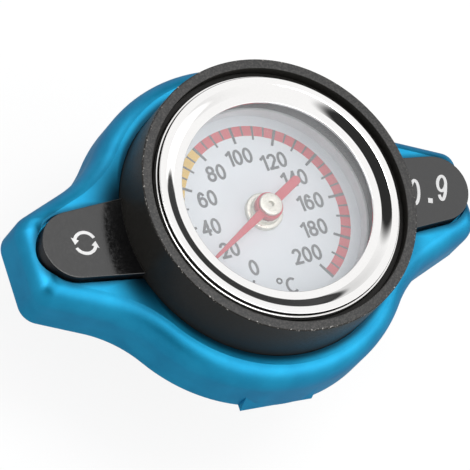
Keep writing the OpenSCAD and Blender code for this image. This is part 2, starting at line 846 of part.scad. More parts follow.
wing_cover();
gauge_housing();
housing_screws();
gauge_case();
bezel_ring();
glass_lens();
lens_gasket();
dial_ring();
dial_plate();
shaft_bush();
pointer();
pointer_cap();
pointer_shaft();
bimetal_coil();
stem_tube();
stem_washer();
stem_nut();
cam_shell();
diaphragm();
rim_gasket();
spring_seat();
main_spring();
valve_plate();
pressure_seal();
seal_retainer();
stem_o_ring();
retaining_ring();
vacuum_valve();
vacuum_spring();
vacuum_clip();
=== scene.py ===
"""Looks of the radiator cap thermometer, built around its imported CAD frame."""

import math
from functools import partial

import bpy
import bmesh
from mathutils import Matrix, Vector


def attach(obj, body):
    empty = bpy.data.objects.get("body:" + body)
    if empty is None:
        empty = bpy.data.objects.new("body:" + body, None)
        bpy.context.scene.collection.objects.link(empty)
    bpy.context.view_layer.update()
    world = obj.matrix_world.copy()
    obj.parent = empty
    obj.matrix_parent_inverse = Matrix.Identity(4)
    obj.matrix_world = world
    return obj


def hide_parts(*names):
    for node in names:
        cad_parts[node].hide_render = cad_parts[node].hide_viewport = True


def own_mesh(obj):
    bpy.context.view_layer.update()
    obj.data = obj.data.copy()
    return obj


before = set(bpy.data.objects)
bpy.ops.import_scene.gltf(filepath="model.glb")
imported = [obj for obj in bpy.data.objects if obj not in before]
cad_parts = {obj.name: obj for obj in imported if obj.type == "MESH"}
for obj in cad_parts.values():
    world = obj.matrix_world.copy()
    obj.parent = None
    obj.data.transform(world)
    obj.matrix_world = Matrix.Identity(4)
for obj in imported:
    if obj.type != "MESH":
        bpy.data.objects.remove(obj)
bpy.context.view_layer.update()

MM = 0.001

# Heights in millimetres above the rim gasket's underside, as in the CAD source, from the top down
RING_TOP = 16.65
LIP_TOP = 15.55
LENS_TOP = 15.15
LENS_LOW = 13.65
LENS_GASKET_Z = 12.35
HUB_TOP = 12.05
NEEDLE_LOW = 11.45
LINING_LOW = 11.35
HUB_LOW = 11.15
BOSS_TOP = 10.85
DIAL_TOP = 9.15
DIAL_LOW = 8.55
TAB_TOP = 7.99
CASE_FLOOR = 6.95
COVER_TOP = 6.65
FLOOR_TOP = 5.95
POCKET_Z = 4.75
RECESS_Z = 3.15
SHELL_UNDER = 2.15
DIAPHRAGM_TOP = 2.1
NUT_TOP = 1.65
SEAT_TOP = 1.6
SCREW_HEAD_TOP = 1.55
SPRING_TOP = 0.8
GASKET_LOW = 0.0
NUT_LOW = -0.25
COLLAR_LOW = -0.8
SLEEVE_TOP = -3.05
SHELL_LOW = -3.85
COVER_LOW = -4.25
POPPET_TOP = -6.0
POPPET_CLIP_LOW = -6.6
PLATE_TOP = -9.6
PLATE_LOW = -10.8
POPPET_LOW = -11.6
SEAL_STEP = -12.3
SLEEVE_LOW = -12.8
CLIP_TOP = -12.85
RETAINER_LOW = -12.9
BIMETAL_TOP = -12.95
SEAL_LOW = -13.2
CLIP_LOW = -13.45
PROBE_LOW = -27.95

# Radii in millimetres, from the outside in
COVER_R = 27.25
RECESS_R = 23.4
SHELL_R = 23.2
HOUSING_R = 23.0
SHELL_IN_R = 22.2
BORE_R = 21.4
CASE_BORE_R = 20.55
BEZEL_R = 20.5
LENS_R = 19.2
STEP_R = 17.6
LINING_R = 17.55
LINING_IN_R = 17.0
DIAL_WALL_R = 16.6
OPENING_R = 16.0
SHANK_HOLE_R = 4.2
SHANK_R = 4.0
PROBE_R = 3.0
SHAFT_HOLE_R = 0.65
SHAFT_R = 0.6

# The tabs beside the housing, in millimetres: their sides draw in towards a round end
TAB_TAPER = math.radians(4.8)
TAB_SLOPE = math.tan(TAB_TAPER)
TAB_ROOT_HALF = 6.33
TAB_REACH = 37.6
TAB_TIP_HALF = TAB_ROOT_HALF - TAB_SLOPE * (TAB_REACH - HOUSING_R)
TAB_END_R = TAB_TIP_HALF / (1 / math.cos(TAB_TAPER) - TAB_SLOPE)
TAB_END_X = TAB_REACH - TAB_END_R

# The dial: its turn, and the angles of its scale and of the pointer at rest, in degrees
DIAL_TURN = 4.0
SCALE_ZERO = 244.0
SCALE_END = 200
DEGREES_PER_UNIT = 1.5
REST_ANGLE = 211.0

# For the meshes: the angle above which an edge stays sharp, how far a cutting body reaches past the
# surface that it opens, and where a softened edge bends, as a share of its width
SHARP_ANGLE = 32
CUT = 1.0
MID_SHARE = 0.3


def add_object(name, data):
    thing = bpy.data.objects.new(name, data)
    bpy.context.scene.collection.objects.link(thing)
    return thing


def new_object(name, vertices, faces):
    """A mesh object from points in millimetres."""
    mesh = bpy.data.meshes.new(name)
    mesh.from_pydata([Vector(v) * MM for v in vertices], [], faces)
    work = bmesh.new()
    work.from_mesh(mesh)
    bmesh.ops.recalc_face_normals(work, faces=work.faces)
    work.to_mesh(mesh)
    work.free()
    return add_object(name, mesh)


def baked(thing):
    """The piece with its modifiers worked into its mesh."""
    graph = bpy.context.evaluated_depsgraph_get()
    mesh = bpy.data.meshes.new_from_object(thing.evaluated_get(graph))
    thing.modifiers.clear()
    old = thing.data
    thing.data = mesh
    bpy.data.meshes.remove(old)
    return thing


def smooth(thing, degrees=SHARP_ANGLE):
    """Smooth shading, with the edges sharper than the given angle kept."""
    mesh = thing.data
    mesh.shade_smooth()
    mesh.set_sharp_from_angle(angle=math.radians(degrees))
    return thing


def crisp(thing, degrees=SHARP_ANGLE):
    """Smooth shading in which broad flat faces stay flat beside their rounded edges."""
    smooth(thing, degrees)
    modifier = thing.modifiers.new("flats", "WEIGHTED_NORMAL")
    modifier.keep_sharp = True
    return baked(thing)


def polar(r, degrees):
    """The point at a radius and an angle."""
    a = math.radians(degrees)
    return r * math.cos(a), r * math.sin(a)


def eased(t):
    """A share from 0 to 1 that starts and ends gently."""
    return t * t * (3 - 2 * t)


def oval(x, y, rx, ry, start=0, end=360, steps=28):
    """Points round an oval, angles in degrees. A whole round is given without its last point."""
    points = []
    for k in range(steps if end - start == 360 else steps + 1):
        a = math.radians(start + (end - start) * k / steps)
        points.append((x + rx * math.cos(a), y + ry * math.sin(a)))
    return points


def arc(centre, r, start, end, steps):
    """Points of an arc, angles in degrees."""
    return oval(*centre, r, r, start, end, steps)


def level(outline, z):
    """An outline of (x, y) points at one height."""
    return [(x, y, z) for x, y in outline]


def rotated(points, degrees, x=0.0, y=0.0):
    """Points turned about the origin, then moved."""
    cos, sin = polar(1.0, degrees)
    return [(x + px * cos - py * sin, y + px * sin + py * cos) for px, py in points]


def rounded(corners, steps=5):
    """A profile from (r, z, rounding) corners, each rounded by an arc."""
    points = []
    count = len(corners)
    for i, (x, z, radius) in enumerate(corners):
        here = Vector((x, z))
        if radius <= 0:
            points.append((x, z))
            continue
        back = (Vector(corners[i - 1][:2]) - here).normalized()
        ahead = (Vector(corners[(i + 1) % count][:2]) - here).normalized()
        half = back.angle(ahead) / 2
        reach = radius / math.tan(half)
        centre = here + (back + ahead).normalized() * (radius / math.sin(half))
        first = here + back * reach - centre
        last = here + ahead * reach - centre
        turn = math.atan2(first.x * last.y - first.y * last.x, first.dot(last))
        for k in range(steps + 1):
            points += rotated([first], math.degrees(turn * k / steps), *centre)
    return points


def lathe(name, profile, steps=160, closed=True, centre=(0.0, 0.0)):
    """A body of revolution. A profile point on the axis becomes one vertex."""
    vertices, faces, rows = [], [], []
    x, y = centre
    turns = [2 * math.pi * k / steps for k in range(steps)]
    for r, z in profile:
        points = [(x + r * math.cos(a), y + r * math.sin(a)) for a in turns] if r else [centre]
        rows.append(range(len(vertices), len(vertices) + len(points)))
        vertices += level(points, z)
    pairs = list(zip(rows, rows[1:]))
    if closed:
        pairs.append((rows[-1], rows[0]))
    for low, high in pairs:
        for k in range(steps):
            n = (k + 1) % steps
            if len(low) == 1:
                faces.append((low[0], high[n], high[k]))
            elif len(high) == 1:
                faces.append((low[k], low[n], high[0]))
            else:
                faces.append((low[k], low[n], high[n], high[k]))
    return new_object(name, vertices, faces)


def drum(name, r, low, high, steps, centre=(0.0, 0.0)):
    """A plain round body, to cut with or to refine."""
    return lathe(name, [(0, low), (r, low), (r, high), (0, high)], steps, False, centre)


def turned(name, corners, steps, fine=5, closed=True, centre=(0.0, 0.0)):
    """A smooth body of revolution from (r, z, rounding) corners."""
    return smooth(lathe(name, rounded(corners, fine), steps, closed, centre))


def ring(name, r_in, r_out, low, high, soft=0.1, steps=160):
    """A plain ring with softened edges."""
    corners = [(r_in, low, soft), (r_out, low, soft), (r_out, high, soft), (r_in, high, soft)]
    return turned(name, corners, steps, fine=3)


def join_rows(faces, base, count, wide, closed=False):
    """Adds the faces between rows of points, with a face at both ends unless the rows are closed."""
    if not closed:
        faces.append(tuple(range(base + wide - 1, base - 1, -1)))
        faces.append(tuple(range(base + wide * (count - 1), base + wide * count)))
    for k in range(count if closed else count - 1):
        a = base + wide * k
        b = base + wide * ((k + 1) % count)
        for i in range(wide):
            j = (i + 1) % wide
            faces.append((a + i, a + j, b + j, b + i))


def loft(name, outline, levels):
    """A closed body through an outline at the sizes and heights of the given levels."""
    rows = [level(outline(size), z) for size, z in levels]
    faces = []
    join_rows(faces, 0, len(rows), len(rows[0]))
    return new_object(name, [point for row in rows for point in row], faces)


def combine(thing, others, operation):
    """Boolean of thing with each of the others, which are used up."""
    for other in others:
        modifier = thing.modifiers.new("cut", "BOOLEAN")
        modifier.operation = operation
        modifier.solver = "EXACT"
        modifier.object = other
    baked(thing)
    for other in others:
        used = other.data
        bpy.data.objects.remove(other)
        bpy.data.meshes.remove(used)
    return thing


def put(thing, body, slot, material, *nodes):
    """Gives a piece its body and its material, and hides the CAD nodes that it stands for. Its slot is not
    used.
    """
    thing.data.materials.clear()
    thing.data.materials.append(material)
    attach(thing, body)
    if nodes:
        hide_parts(*nodes)
    return thing


# Materials

def feed(tree, socket, value):
    """Links another socket into this one, or sets it to a number or colour."""
    if isinstance(value, bpy.types.NodeSocket):
        tree.links.new(value, socket)
    else:
        socket.default_value = value


def math_node(tree, operation, *values, kind="ShaderNodeMath"):
    """A math node fed with numbers, vectors or sockets."""
    made = tree.nodes.new(kind)
    made.operation = operation
    for socket, value in zip(made.inputs, values):
        feed(tree, socket, value)
    return made.outputs["Value"]


def ramp_node(tree, value, edges, levels=(0.0, 1.0)):
    """Goes smoothly from one level to the other as a value goes from edge to edge."""
    made = tree.nodes.new("ShaderNodeMapRange")
    made.interpolation_type = "SMOOTHSTEP"
    for socket, given in zip(made.inputs, (value, *edges, *levels)):
        feed(tree, socket, given)
    return made.outputs[0]


class Shader:
    """A node material with short calls for the nodes used here."""

    def __init__(self, name):
        self.material = bpy.data.materials.new(name)
        self.material.use_nodes = True
        self.tree = self.material.node_tree
        self.bsdf = self.tree.nodes["Principled BSDF"]
        self.place = self.node("ShaderNodeTexCoord").outputs["Object"]
        self.math = partial(math_node, self.tree)
        self.span = partial(ramp_node, self.tree)

    def fill(self, node, inputs):
        """Feeds a node's inputs, named with _ for a space."""
        for key, value in inputs.items():
            feed(self.tree, node.inputs[key.replace("_", " ")], value)
        return node

    def node(self, kind, **inputs):
        return self.fill(self.tree.nodes.new(kind), inputs)

    def set(self, **inputs):
        self.fill(self.bsdf, inputs)

    def fade(self, length, edges, levels=(0.0, 1.0)):
        """As span, for a length with its edges in millimetres."""
        return self.span(length, [edge * MM for edge in edges], levels)

    def noise(self, scale, detail=3.0, roughness=0.5, stretch=(1.0, 1.0, 1.0)):
        place = self.node("ShaderNodeMapping", Vector=self.place, Scale=stretch).outputs["Vector"]
        made = self.node("ShaderNodeTexNoise", Vector=place, Scale=scale, Detail=detail, Roughness=roughness)
        return made.outputs["Fac"]

    def mix(self, factor, a, b):
        made = self.tree.nodes.new("ShaderNodeMix")
        made.data_type = "RGBA"
        return self.fill(made, {"Factor": factor, "A": a, "B": b}).outputs["Result"]

    def axes(self):
        return self.node("ShaderNodeSeparateXYZ", Vector=self.place).outputs

    def hypot(self, a, b):
        return self.math("SQRT", self.math("MULTIPLY_ADD", a, a, self.math("MULTIPLY", b, b)))

    def radius(self):
        x, y, _ = self.axes()
        return self.hypot(x, y)

    def bump(self, height, strength, distance):
        made = self.node("ShaderNodeBump", Height=height, Strength=strength, Distance=distance)
        self.set(Normal=made.outputs["Normal"])


def rgb(r, g, b):
    """A colour given in 0 to 255, as the renderer wants it."""
    def linear(c):
        c /= 255
        return c / 12.92 if c <= 0.04045 else ((c + 0.055) / 1.055) ** 2.4
    return (linear(r), linear(g), linear(b), 1.0)


def from_tab(s):
    """Distance from the nearer tab's outline, in metres."""
    x, y, _ = s.axes()
    past = s.math("SUBTRACT", s.math("ABSOLUTE", x), TAB_END_X * MM)
    away = s.hypot(s.math("MAXIMUM", past, 0.0), y)
    half = s.math("MULTIPLY_ADD", s.math("MINIMUM", past, 0.0), -TAB_SLOPE, TAB_END_R * MM)
    return s.math("SUBTRACT", away, half)


# The middle stretch of a noise's values
MIDDLE = (0.3, 0.7)

BLUE_TONES = (rgb(14, 146, 194), rgb(24, 162, 210))
BLUE_GRAIN_TONE = rgb(80, 184, 218)
BLUE_GRAIN_EDGES = (0.35, 0.75)
BLUE_GRAIN_SHARE = (0.0, 0.22)
BLUE_GLOSS = (0.33, 0.4)
BLUE_TINT = rgb(110, 160, 195)

# Painted shade on the cover, standing in for the shadow and dark reflection of the housing and its tabs
# beside them: from where to where it fades, in millimetres, and how dark it is
PAINTED_SHADE_TONE = rgb(4, 16, 26)
HOUSING_PAINTED_SHADE = ((23.3, 24.4), (0.8, 0.0))
TAB_PAINTED_SHADE = ((0.3, 1.6), (0.7, 0.0))
CORNER_SHADE_BY_HOUSING = ((23.3, 30.0), (0.95, 0.0))
CORNER_SHADE_BY_TAB = ((0.0, 10.0), (1.0, 0.0))
PAINTED_SHADE_RISE = (4.5, 6.0)


def make_blue():
    """Satin anodised metal with a fine grain, with painted shade beside the housing and in the corners by its
    tabs.
    """
    s = Shader("blue_anodised")
    grain = s.noise(9000, detail=2, roughness=0.6)
    tone = s.mix(s.span(s.noise(160), MIDDLE), *BLUE_TONES)
    tone = s.mix(s.span(grain, BLUE_GRAIN_EDGES, BLUE_GRAIN_SHARE), tone, BLUE_GRAIN_TONE)
    radius = s.radius()
    tab_gap = from_tab(s)
    # Painted shade, standing in for the shadow and dark reflection of the housing and the tabs: the cover's
    # top is darkened beside the housing, beside the tabs and in the corners between them
    painted_seam_shade = s.math("MAXIMUM", s.fade(radius, *HOUSING_PAINTED_SHADE), s.fade(tab_gap, *TAB_PAINTED_SHADE))
    corner = s.math("MULTIPLY", s.fade(radius, *CORNER_SHADE_BY_HOUSING), s.fade(tab_gap, *CORNER_SHADE_BY_TAB))
    on_top = s.fade(s.axes()["Z"], PAINTED_SHADE_RISE)
    shade = s.math("MULTIPLY", s.math("MAXIMUM", painted_seam_shade, corner), on_top)
    gloss = s.span(grain, MIDDLE, BLUE_GLOSS)
    s.set(Base_Color=s.mix(shade, tone, PAINTED_SHADE_TONE), Metallic=0.8, Roughness=gloss)
    s.set(Specular_Tint=BLUE_TINT, Coat_Weight=0.2, Coat_Roughness=0.3)
    s.bump(grain, strength=0.05, distance=0.00005)
    return s.material


WALL_TONES = (rgb(31, 30, 28), rgb(41, 40, 38))
WALL_GRAIN = (0.35, 0.7)
WALL_GLOSS = (0.34, 0.46)
FACE_TONES = (rgb(10, 10, 10), rgb(58, 56, 54))
FACE_GRAIN = (0.4, 0.68)
TAB_TONES = (rgb(4, 4, 5), rgb(15, 15, 16))
TAB_BRUSH = (300, 6000, 6000)
CHIP_TONE = rgb(200, 196, 190)
CHIP_EDGES = (0.59, 0.65)

# Where the housing's surfaces begin, in millimetres
TAB_BEGINS = (HOUSING_R + 0.1, HOUSING_R + 0.4)
TAB_TOP_BEGINS = (TAB_TOP - 0.14, TAB_TOP - 0.04)
FACE_BEGINS = (RING_TOP - 0.1, RING_TOP - 0.02)
WORN_FROM_R = (HOUSING_R - 0.38, HOUSING_R - 0.1)
WORN_FROM_Z = (RING_TOP - 0.35, RING_TOP - 0.1)

# The coat's shine on the wall, what its other surfaces add to that, and how much smoother the tabs' tops are
WALL_SHINE = 0.15
OTHER_SHINE = 0.2
FACE_SHINE = 0.25
TAB_TOP_SHINE = 0.65
TAB_TOP_SMOOTHER = 0.26


def make_black():
    """Black coat: even on the wall, rough and worn at its edge on the ring's face, brushed on the tabs."""
    s = Shader("black_coat")
    z = s.axes()["Z"]
    radius = s.radius()
    grain = s.noise(3200, roughness=0.6)
    brushed = s.noise(1.0, roughness=0.6, stretch=TAB_BRUSH)
    on_tab = s.fade(radius, TAB_BEGINS)
    on_face = s.fade(z, FACE_BEGINS)
    on_tab_top = s.math("MULTIPLY", on_tab, s.fade(z, TAB_TOP_BEGINS))
    wall = s.mix(s.span(grain, WALL_GRAIN), *WALL_TONES)
    face = s.mix(s.span(grain, FACE_GRAIN), *FACE_TONES)
    tab = s.mix(s.span(brushed, MIDDLE), *TAB_TONES)
    tone = s.mix(on_tab, s.mix(on_face, wall, face), tab)
    edge = s.math("MULTIPLY", s.fade(radius, WORN_FROM_R), s.fade(z, WORN_FROM_Z))
    chips = s.span(s.noise(2600, detail=4, roughness=0.7), CHIP_EDGES)
    s.set(Base_Color=s.mix(s.math("MULTIPLY", edge, chips), tone, CHIP_TONE))
    rough = s.span(grain, MIDDLE, WALL_GLOSS)
    s.set(Roughness=s.math("MULTIPLY_ADD", on_tab_top, -TAB_TOP_SMOOTHER, rough))
    shine = s.math("MULTIPLY_ADD", on_face, FACE_SHINE, WALL_SHINE)
    shine = s.math("MULTIPLY_ADD", s.math("MAXIMUM", on_face, on_tab), OTHER_SHINE, shine)
    s.set(Specular_IOR_Level=s.math("MULTIPLY_ADD", on_tab_top, TAB_TOP_SHINE, shine))
    s.bump(s.mix(on_tab, grain, brushed), strength=0.12, distance=0.00004)
    return s.material


def make_grained(name, low, high, roughness, grain_scale, strength, cloud_scale, swing, metallic):
    """A material whose tone and gloss vary with a fine grain."""
    s = Shader(name)
    grain = s.noise(grain_scale, roughness=0.55)
    cloud = s.noise(cloud_scale)
    tone = s.mix(s.math("MULTIPLY_ADD", grain, 0.5, s.math("MULTIPLY", cloud, 0.5)), low, high)
    gloss = s.span(grain, MIDDLE, (roughness * (1 - swing), roughness * (1 + swing)))
    s.set(Base_Color=tone, Roughness=gloss, Metallic=metallic)
    s.bump(grain, strength, distance=0.00003)
    return s.material


# Bare metals, then paints, plastics and rubbers
make_metal = partial(make_grained, grain_scale=5000, strength=0.06, cloud_scale=220, swing=0.2, metallic=1.0)
make_coat = partial(make_grained, grain_scale=4000, strength=0.08, cloud_scale=260, swing=0.15, metallic=0.0)


def make_glass():
    """Clear glass with a faint smear."""
    s = Shader("glass")
    haze = s.span(s.noise(180), (0.2, 0.8), (0.115, 0.145))
    s.set(Base_Color=rgb(240, 243, 245), Alpha=haze, Roughness=0.02, IOR=1.5)
    return s.material


PRINTED = {"grain_scale": 3000, "strength": 0.02}
BLUE = make_blue()
BLACK = make_black()
GLASS = make_glass()
CHROME = make_metal("chrome", rgb(232, 231, 230), rgb(242, 241, 240), 0.045, grain_scale=3000, strength=0.006)
STEEL = make_metal("bright_steel", rgb(176, 176, 174), rgb(206, 206, 204), 0.26)
SILVER = make_metal("cap_silver", rgb(208, 205, 195), rgb(224, 221, 211), 0.3)
MARK = make_metal("silver_print", rgb(186, 186, 186), rgb(214, 214, 214), 0.4)
PLATED = make_metal("plated_steel", rgb(180, 172, 140), rgb(206, 200, 172), 0.3)
SPRING = make_metal("spring_steel", rgb(150, 154, 158), rgb(186, 190, 194), 0.3)
BRASS = make_metal("brass", rgb(188, 158, 84), rgb(210, 182, 108), 0.28)
BIMETAL = make_metal("bimetal", rgb(166, 128, 70), rgb(188, 150, 92), 0.35)
GREY = make_coat("grey_plastic", rgb(202, 205, 208), rgb(218, 220, 223), 0.35)
RUBBER = make_coat("rubber", rgb(30, 30, 31), rgb(44, 44, 45), 0.6)
LENS_RUBBER = make_coat("lens_gasket_rubber", rgb(28, 29, 31), rgb(40, 41, 43), 0.6)
DIAL = make_coat("dial_paint", rgb(224, 229, 235), rgb(234, 239, 244), 0.5, grain_scale=6000, strength=0.03)
RED = make_coat("red_paint", rgb(188, 18, 50), rgb(198, 26, 58), 0.45, grain_scale=3000, strength=0.03)
PRINT = make_coat("grey_print", rgb(74, 76, 80), rgb(88, 90, 94), 0.5, **PRINTED)
PRINT_RED = make_coat("red_print", rgb(206, 44, 62), rgb(216, 58, 74), 0.45, **PRINTED)
PRINT_YELLOW = make_coat("yellow_print", rgb(230, 184, 60), rgb(240, 198, 84), 0.45, **PRINTED)


# The blue cover

WING_REACH = 39.1
WING_END_HALF = 6.7
WING_TAPER = 22.0
WING_CORNER = 3.4
WING_CORNER_MIN = 2.2
WING_BLEND = 20.0
SHOULDER_WIDE = 2.65
SHOULDER_HIGH = 5.0
SHOULDER_CUT = math.radians(75)
SHOULDER_STEPS = 16
COVER_EDGE = 0.3
POCKET_GAP = 0.1
TAB_GAP = 0.35
TAB_POCKET_START = 20
LUG_WIDE = 12.8
LUG_SHIFT = 1.2
LUG_HIGH = 5.6
LUG_LEAN = 1.5
LUG_FACE = COVER_R - 0.15
SCREW_X = 30.4
SCREW_HOLE_R = 1.7
SCREW_SINK_R = 2.9


def cover_outline(inset, steps=22):
    """The cover's outline, anticlockwise, drawn in by the given distance."""
    taper = math.radians(WING_TAPER)
    r = COVER_R - inset
    blend = WING_BLEND + inset
    side = WING_END_HALF * math.cos(taper) + WING_REACH * math.sin(taper) - inset
    corner = max(WING_CORNER - inset, WING_CORNER_MIN)
    normal = Vector((math.sin(taper), math.cos(taper)))
    along = Vector((math.cos(taper), -math.sin(taper)))
    centre = normal * (side + blend) + along * math.sqrt((r + blend) ** 2 - (side + blend) ** 2)
    turn = math.degrees(math.atan2(centre.y, centre.x))
    corner_x = WING_REACH - inset - corner
    corner_y = (side - corner - math.sin(taper) * corner_x) / math.cos(taper)
    quarter = arc((0, 0), r, 90, turn, steps)
    quarter += arc(centre, blend, turn + 180, 270 - WING_TAPER, steps)[1:]
    quarter += arc((corner_x, corner_y), corner, 90 - WING_TAPER, 0, steps // 2)
    back = quarter[::-1] + [(-x, y) for x, y in quarter[1:]]
    return back + [(-x, -y) for x, y in back]


def tab_outline(gap, start, side=1, steps=40):
    """The right (1) or left (-1) tab's outline from x = start to its round end, grown by a gap."""
    start_half = TAB_ROOT_HALF + TAB_SLOPE * (HOUSING_R - start) + gap / math.cos(TAB_TAPER)
    turn = 90 - math.degrees(TAB_TAPER)
    points = [(start, start_half), (start, -start_half)]
    points += arc((TAB_END_X, 0), TAB_END_R + gap, -turn, turn, steps)
    return [(side * x, side * y) for x, y in points]


def make_lug(side):
    """A flat lug on the rim, front (1) or back (-1), whose leaning face runs into the round wall."""
    left = -LUG_SHIFT - LUG_WIDE / 2
    right = left + LUG_WIDE

    def outline(face):
        base = [(left, -face), (right, -face), (right, -RECESS_R), (left, -RECESS_R)]
        return [(side * x, side * y) for x, y in base]

    return loft("lug", outline, ((LUG_FACE, COVER_LOW), (LUG_FACE - LUG_LEAN, COVER_LOW + LUG_HIGH)))


def make_cover():
    middle = COVER_EDGE * MID_SHARE
    levels = [(COVER_EDGE, COVER_LOW), (middle, COVER_LOW + middle), (0.0, COVER_LOW + COVER_EDGE)]
    rx = SHOULDER_WIDE / (1 - math.cos(SHOULDER_CUT))
    rz = SHOULDER_HIGH / math.sin(SHOULDER_CUT)
    for k in range(SHOULDER_STEPS + 1):
        a = SHOULDER_CUT * k / SHOULDER_STEPS
        levels.append((rx * (1 - math.cos(a)), COVER_TOP - SHOULDER_HIGH + rz * math.sin(a)))
    cover = loft("wing_cover_blue", cover_outline, levels)
    combine(cover, [make_lug(1), make_lug(-1)], "UNION")
    cutters = [
        drum("recess", RECESS_R, COVER_LOW - CUT, RECESS_Z, 192),
        drum("shank_hole", SHANK_HOLE_R, RECESS_Z - CUT, POCKET_Z + CUT, 64),
        drum("pocket", HOUSING_R + POCKET_GAP, POCKET_Z, COVER_TOP + CUT, 192),
    ]
    for side in (1, -1):
        outline = partial(tab_outline, start=TAB_POCKET_START, side=side)
        cutters.append(loft("tab_pocket", outline, ((TAB_GAP, POCKET_Z), (TAB_GAP, COVER_TOP + CUT))))
    for x in (SCREW_X, -SCREW_X):
        cutters.append(drum("screw_hole", SCREW_HOLE_R, SCREW_HEAD_TOP - CUT, POCKET_Z + CUT, 48, (x, 0)))
        cutters.append(drum("screw_sink", SCREW_SINK_R, COVER_LOW - CUT, SCREW_HEAD_TOP, 64, (x, 0)))
    combine(cover, cutters, "DIFFERENCE")
    return smooth(cover, degrees=18)


put(make_cover(), "cap", "blue_anodised", BLUE, "wing_cover")


# The black housing

GROOVE_LOW = RING_TOP - 2.0
TAB_EDGE = 0.14
TAB_START = 21.7
THREAD_R = 1.55
THREAD_TOP = POCKET_Z + 2.3


def make_housing():
    housing = lathe("gauge_housing_black", rounded([
        (SHANK_HOLE_R, POCKET_Z, 0.1),
        (HOUSING_R, POCKET_Z, 0.1),
        (HOUSING_R, RING_TOP, 0.28),
        (BORE_R, RING_TOP, 0.16),
        (BORE_R, GROOVE_LOW, 0.1),
        (CASE_BORE_R, GROOVE_LOW, 0.05),
        (CASE_BORE_R, FLOOR_TOP, 0.1),
        (SHANK_HOLE_R, FLOOR_TOP, 0.1),
    ]), 256)
    middle = TAB_EDGE * MID_SHARE
    levels = ((0.0, POCKET_Z), (0.0, TAB_TOP - TAB_EDGE), (-middle, TAB_TOP - middle), (-TAB_EDGE, TAB_TOP))
    tabs = [loft("tab", partial(tab_outline, start=TAB_START, side=side), levels) for side in (1, -1)]
    combine(housing, tabs, "UNION")
    threads = [drum("thread", THREAD_R, POCKET_Z - CUT, THREAD_TOP, 48, (x, 0)) for x in (SCREW_X, -SCREW_X)]
    combine(housing, threads, "DIFFERENCE")
    return crisp(housing, degrees=50)


put(make_housing(), "cap", "black_coat", BLACK, "gauge_housing")


# The gauge

CREST = RING_TOP - 0.3
SKIRT_LOW = RING_TOP - 5.0
BEZEL_T = 0.4
HEM_R = 0.2
HEM_DROP = 0.85
HEM_TURN = 110
RISE_R = 0.2
RISE_IN = 0.62
RISE_TURN = 30
CROWN_IN = 0.85
CROWN_R = 4.7
CROWN_SPAN = 9.9
CONE_STEPS = 12
CONE_EASE = 0.08
LIP_WIDE = 1.4
LIP_EDGE = 0.14


def make_bezel():
    """A rolled ring: an outer hem, a steep rise, a low crown, a sharp-edged, gently curved cone and a lip."""
    profile = [(BEZEL_R, SKIRT_LOW)]
    profile += arc((BEZEL_R - HEM_R, CREST - HEM_DROP), HEM_R, 0, HEM_TURN, 16)
    profile += arc((BEZEL_R - RISE_IN, CREST - RISE_R), RISE_R, RISE_TURN, 90, 12)
    profile += arc((BEZEL_R - CROWN_IN, CREST - CROWN_R), CROWN_R, 90, 90 + CROWN_SPAN, 8)
    cone_r, cone_z = profile[-1]
    for k in range(1, CONE_STEPS + 1):
        t = k / CONE_STEPS
        fall = (1 - CONE_EASE) * t + CONE_EASE * eased(t)
        profile.append((cone_r + (OPENING_R + LIP_WIDE - cone_r) * t, cone_z + (LIP_TOP - cone_z) * fall))
    profile += arc((OPENING_R + LIP_EDGE, LIP_TOP - LIP_EDGE), LIP_EDGE, 90, 180, 8)
    profile += [(OPENING_R, LENS_TOP), (BEZEL_R - BEZEL_T, LENS_TOP), (BEZEL_R - BEZEL_T, SKIRT_LOW)]
    return smooth(lathe("bezel_chrome", profile, 320), degrees=14)


put(make_bezel(), "cap", "chrome", CHROME, "bezel_ring")
put(smooth(drum("lens_glass", LENS_R, LENS_LOW, LENS_TOP, 192)), "cap", "glass", GLASS, "glass_lens")

put(turned("lens_gasket_ring", [
    (LINING_IN_R, LINING_LOW, 0),
    (LINING_R, LINING_LOW, 0),
    (LINING_R, LENS_GASKET_Z, 0),
    (LENS_R, LENS_GASKET_Z, 0),
    (LENS_R, LENS_LOW, 0),
    (LINING_IN_R, LENS_LOW, 0.2),
], 192), "cap", "rubber", LENS_RUBBER, "lens_gasket")

put(turned("dial_wall", [
    (DIAL_WALL_R, DIAL_TOP, 0),
    (LENS_R, DIAL_TOP, 0),
    (LENS_R, LENS_GASKET_Z, 0),
    (STEP_R, LENS_GASKET_Z, 0),
    (STEP_R, LINING_LOW, 0),
    (DIAL_WALL_R, LINING_LOW, 0.2),
], 192), "cap", "grey_plastic", GREY, "dial_ring")

DIAL_HOLE_R = 2.2
BOSS_FOOT_R = 2.15
BOSS_R = 3.1
BOSS_FLANGE_TOP = DIAL_TOP + 0.8
BOSS_NECK_R = 2.4

dial = ring("dial_face", DIAL_HOLE_R, LENS_R, DIAL_LOW, DIAL_TOP, soft=0, steps=192)
put(dial, "cap", "white_paint", DIAL, "dial_plate")

boss = lathe("dial_boss", rounded([
    (SHAFT_HOLE_R, CASE_FLOOR, 0),
    (BOSS_FOOT_R, CASE_FLOOR, 0),
    (BOSS_FOOT_R, DIAL_TOP, 0),
    (BOSS_R, DIAL_TOP, 0),
    (BOSS_R, BOSS_FLANGE_TOP, 0.2),
    (BOSS_NECK_R, BOSS_FLANGE_TOP, 0.1),
    (BOSS_NECK_R, BOSS_TOP, 0.15),
    (SHAFT_HOLE_R, BOSS_TOP, 0),
]), 96)
put(crisp(boss), "cap", "bright_steel", SILVER, "shaft_bush")


# The print on the dial and the tabs

PRINT_RISE = 0.02
BAND_IN = 13.15
BAND_OUT = 14.85
YELLOW_START = 40
RED_START = 80

# Each kind of tick: the readings that it divides, its inner radius and its width
TICKS = ((20, 12.0, 0.46), (10, 12.5, 0.34), (5, BAND_IN, 0.27))
TICK_EVERY = 5


def scale_angle(reading):
    return SCALE_ZERO - DEGREES_PER_UNIT * reading


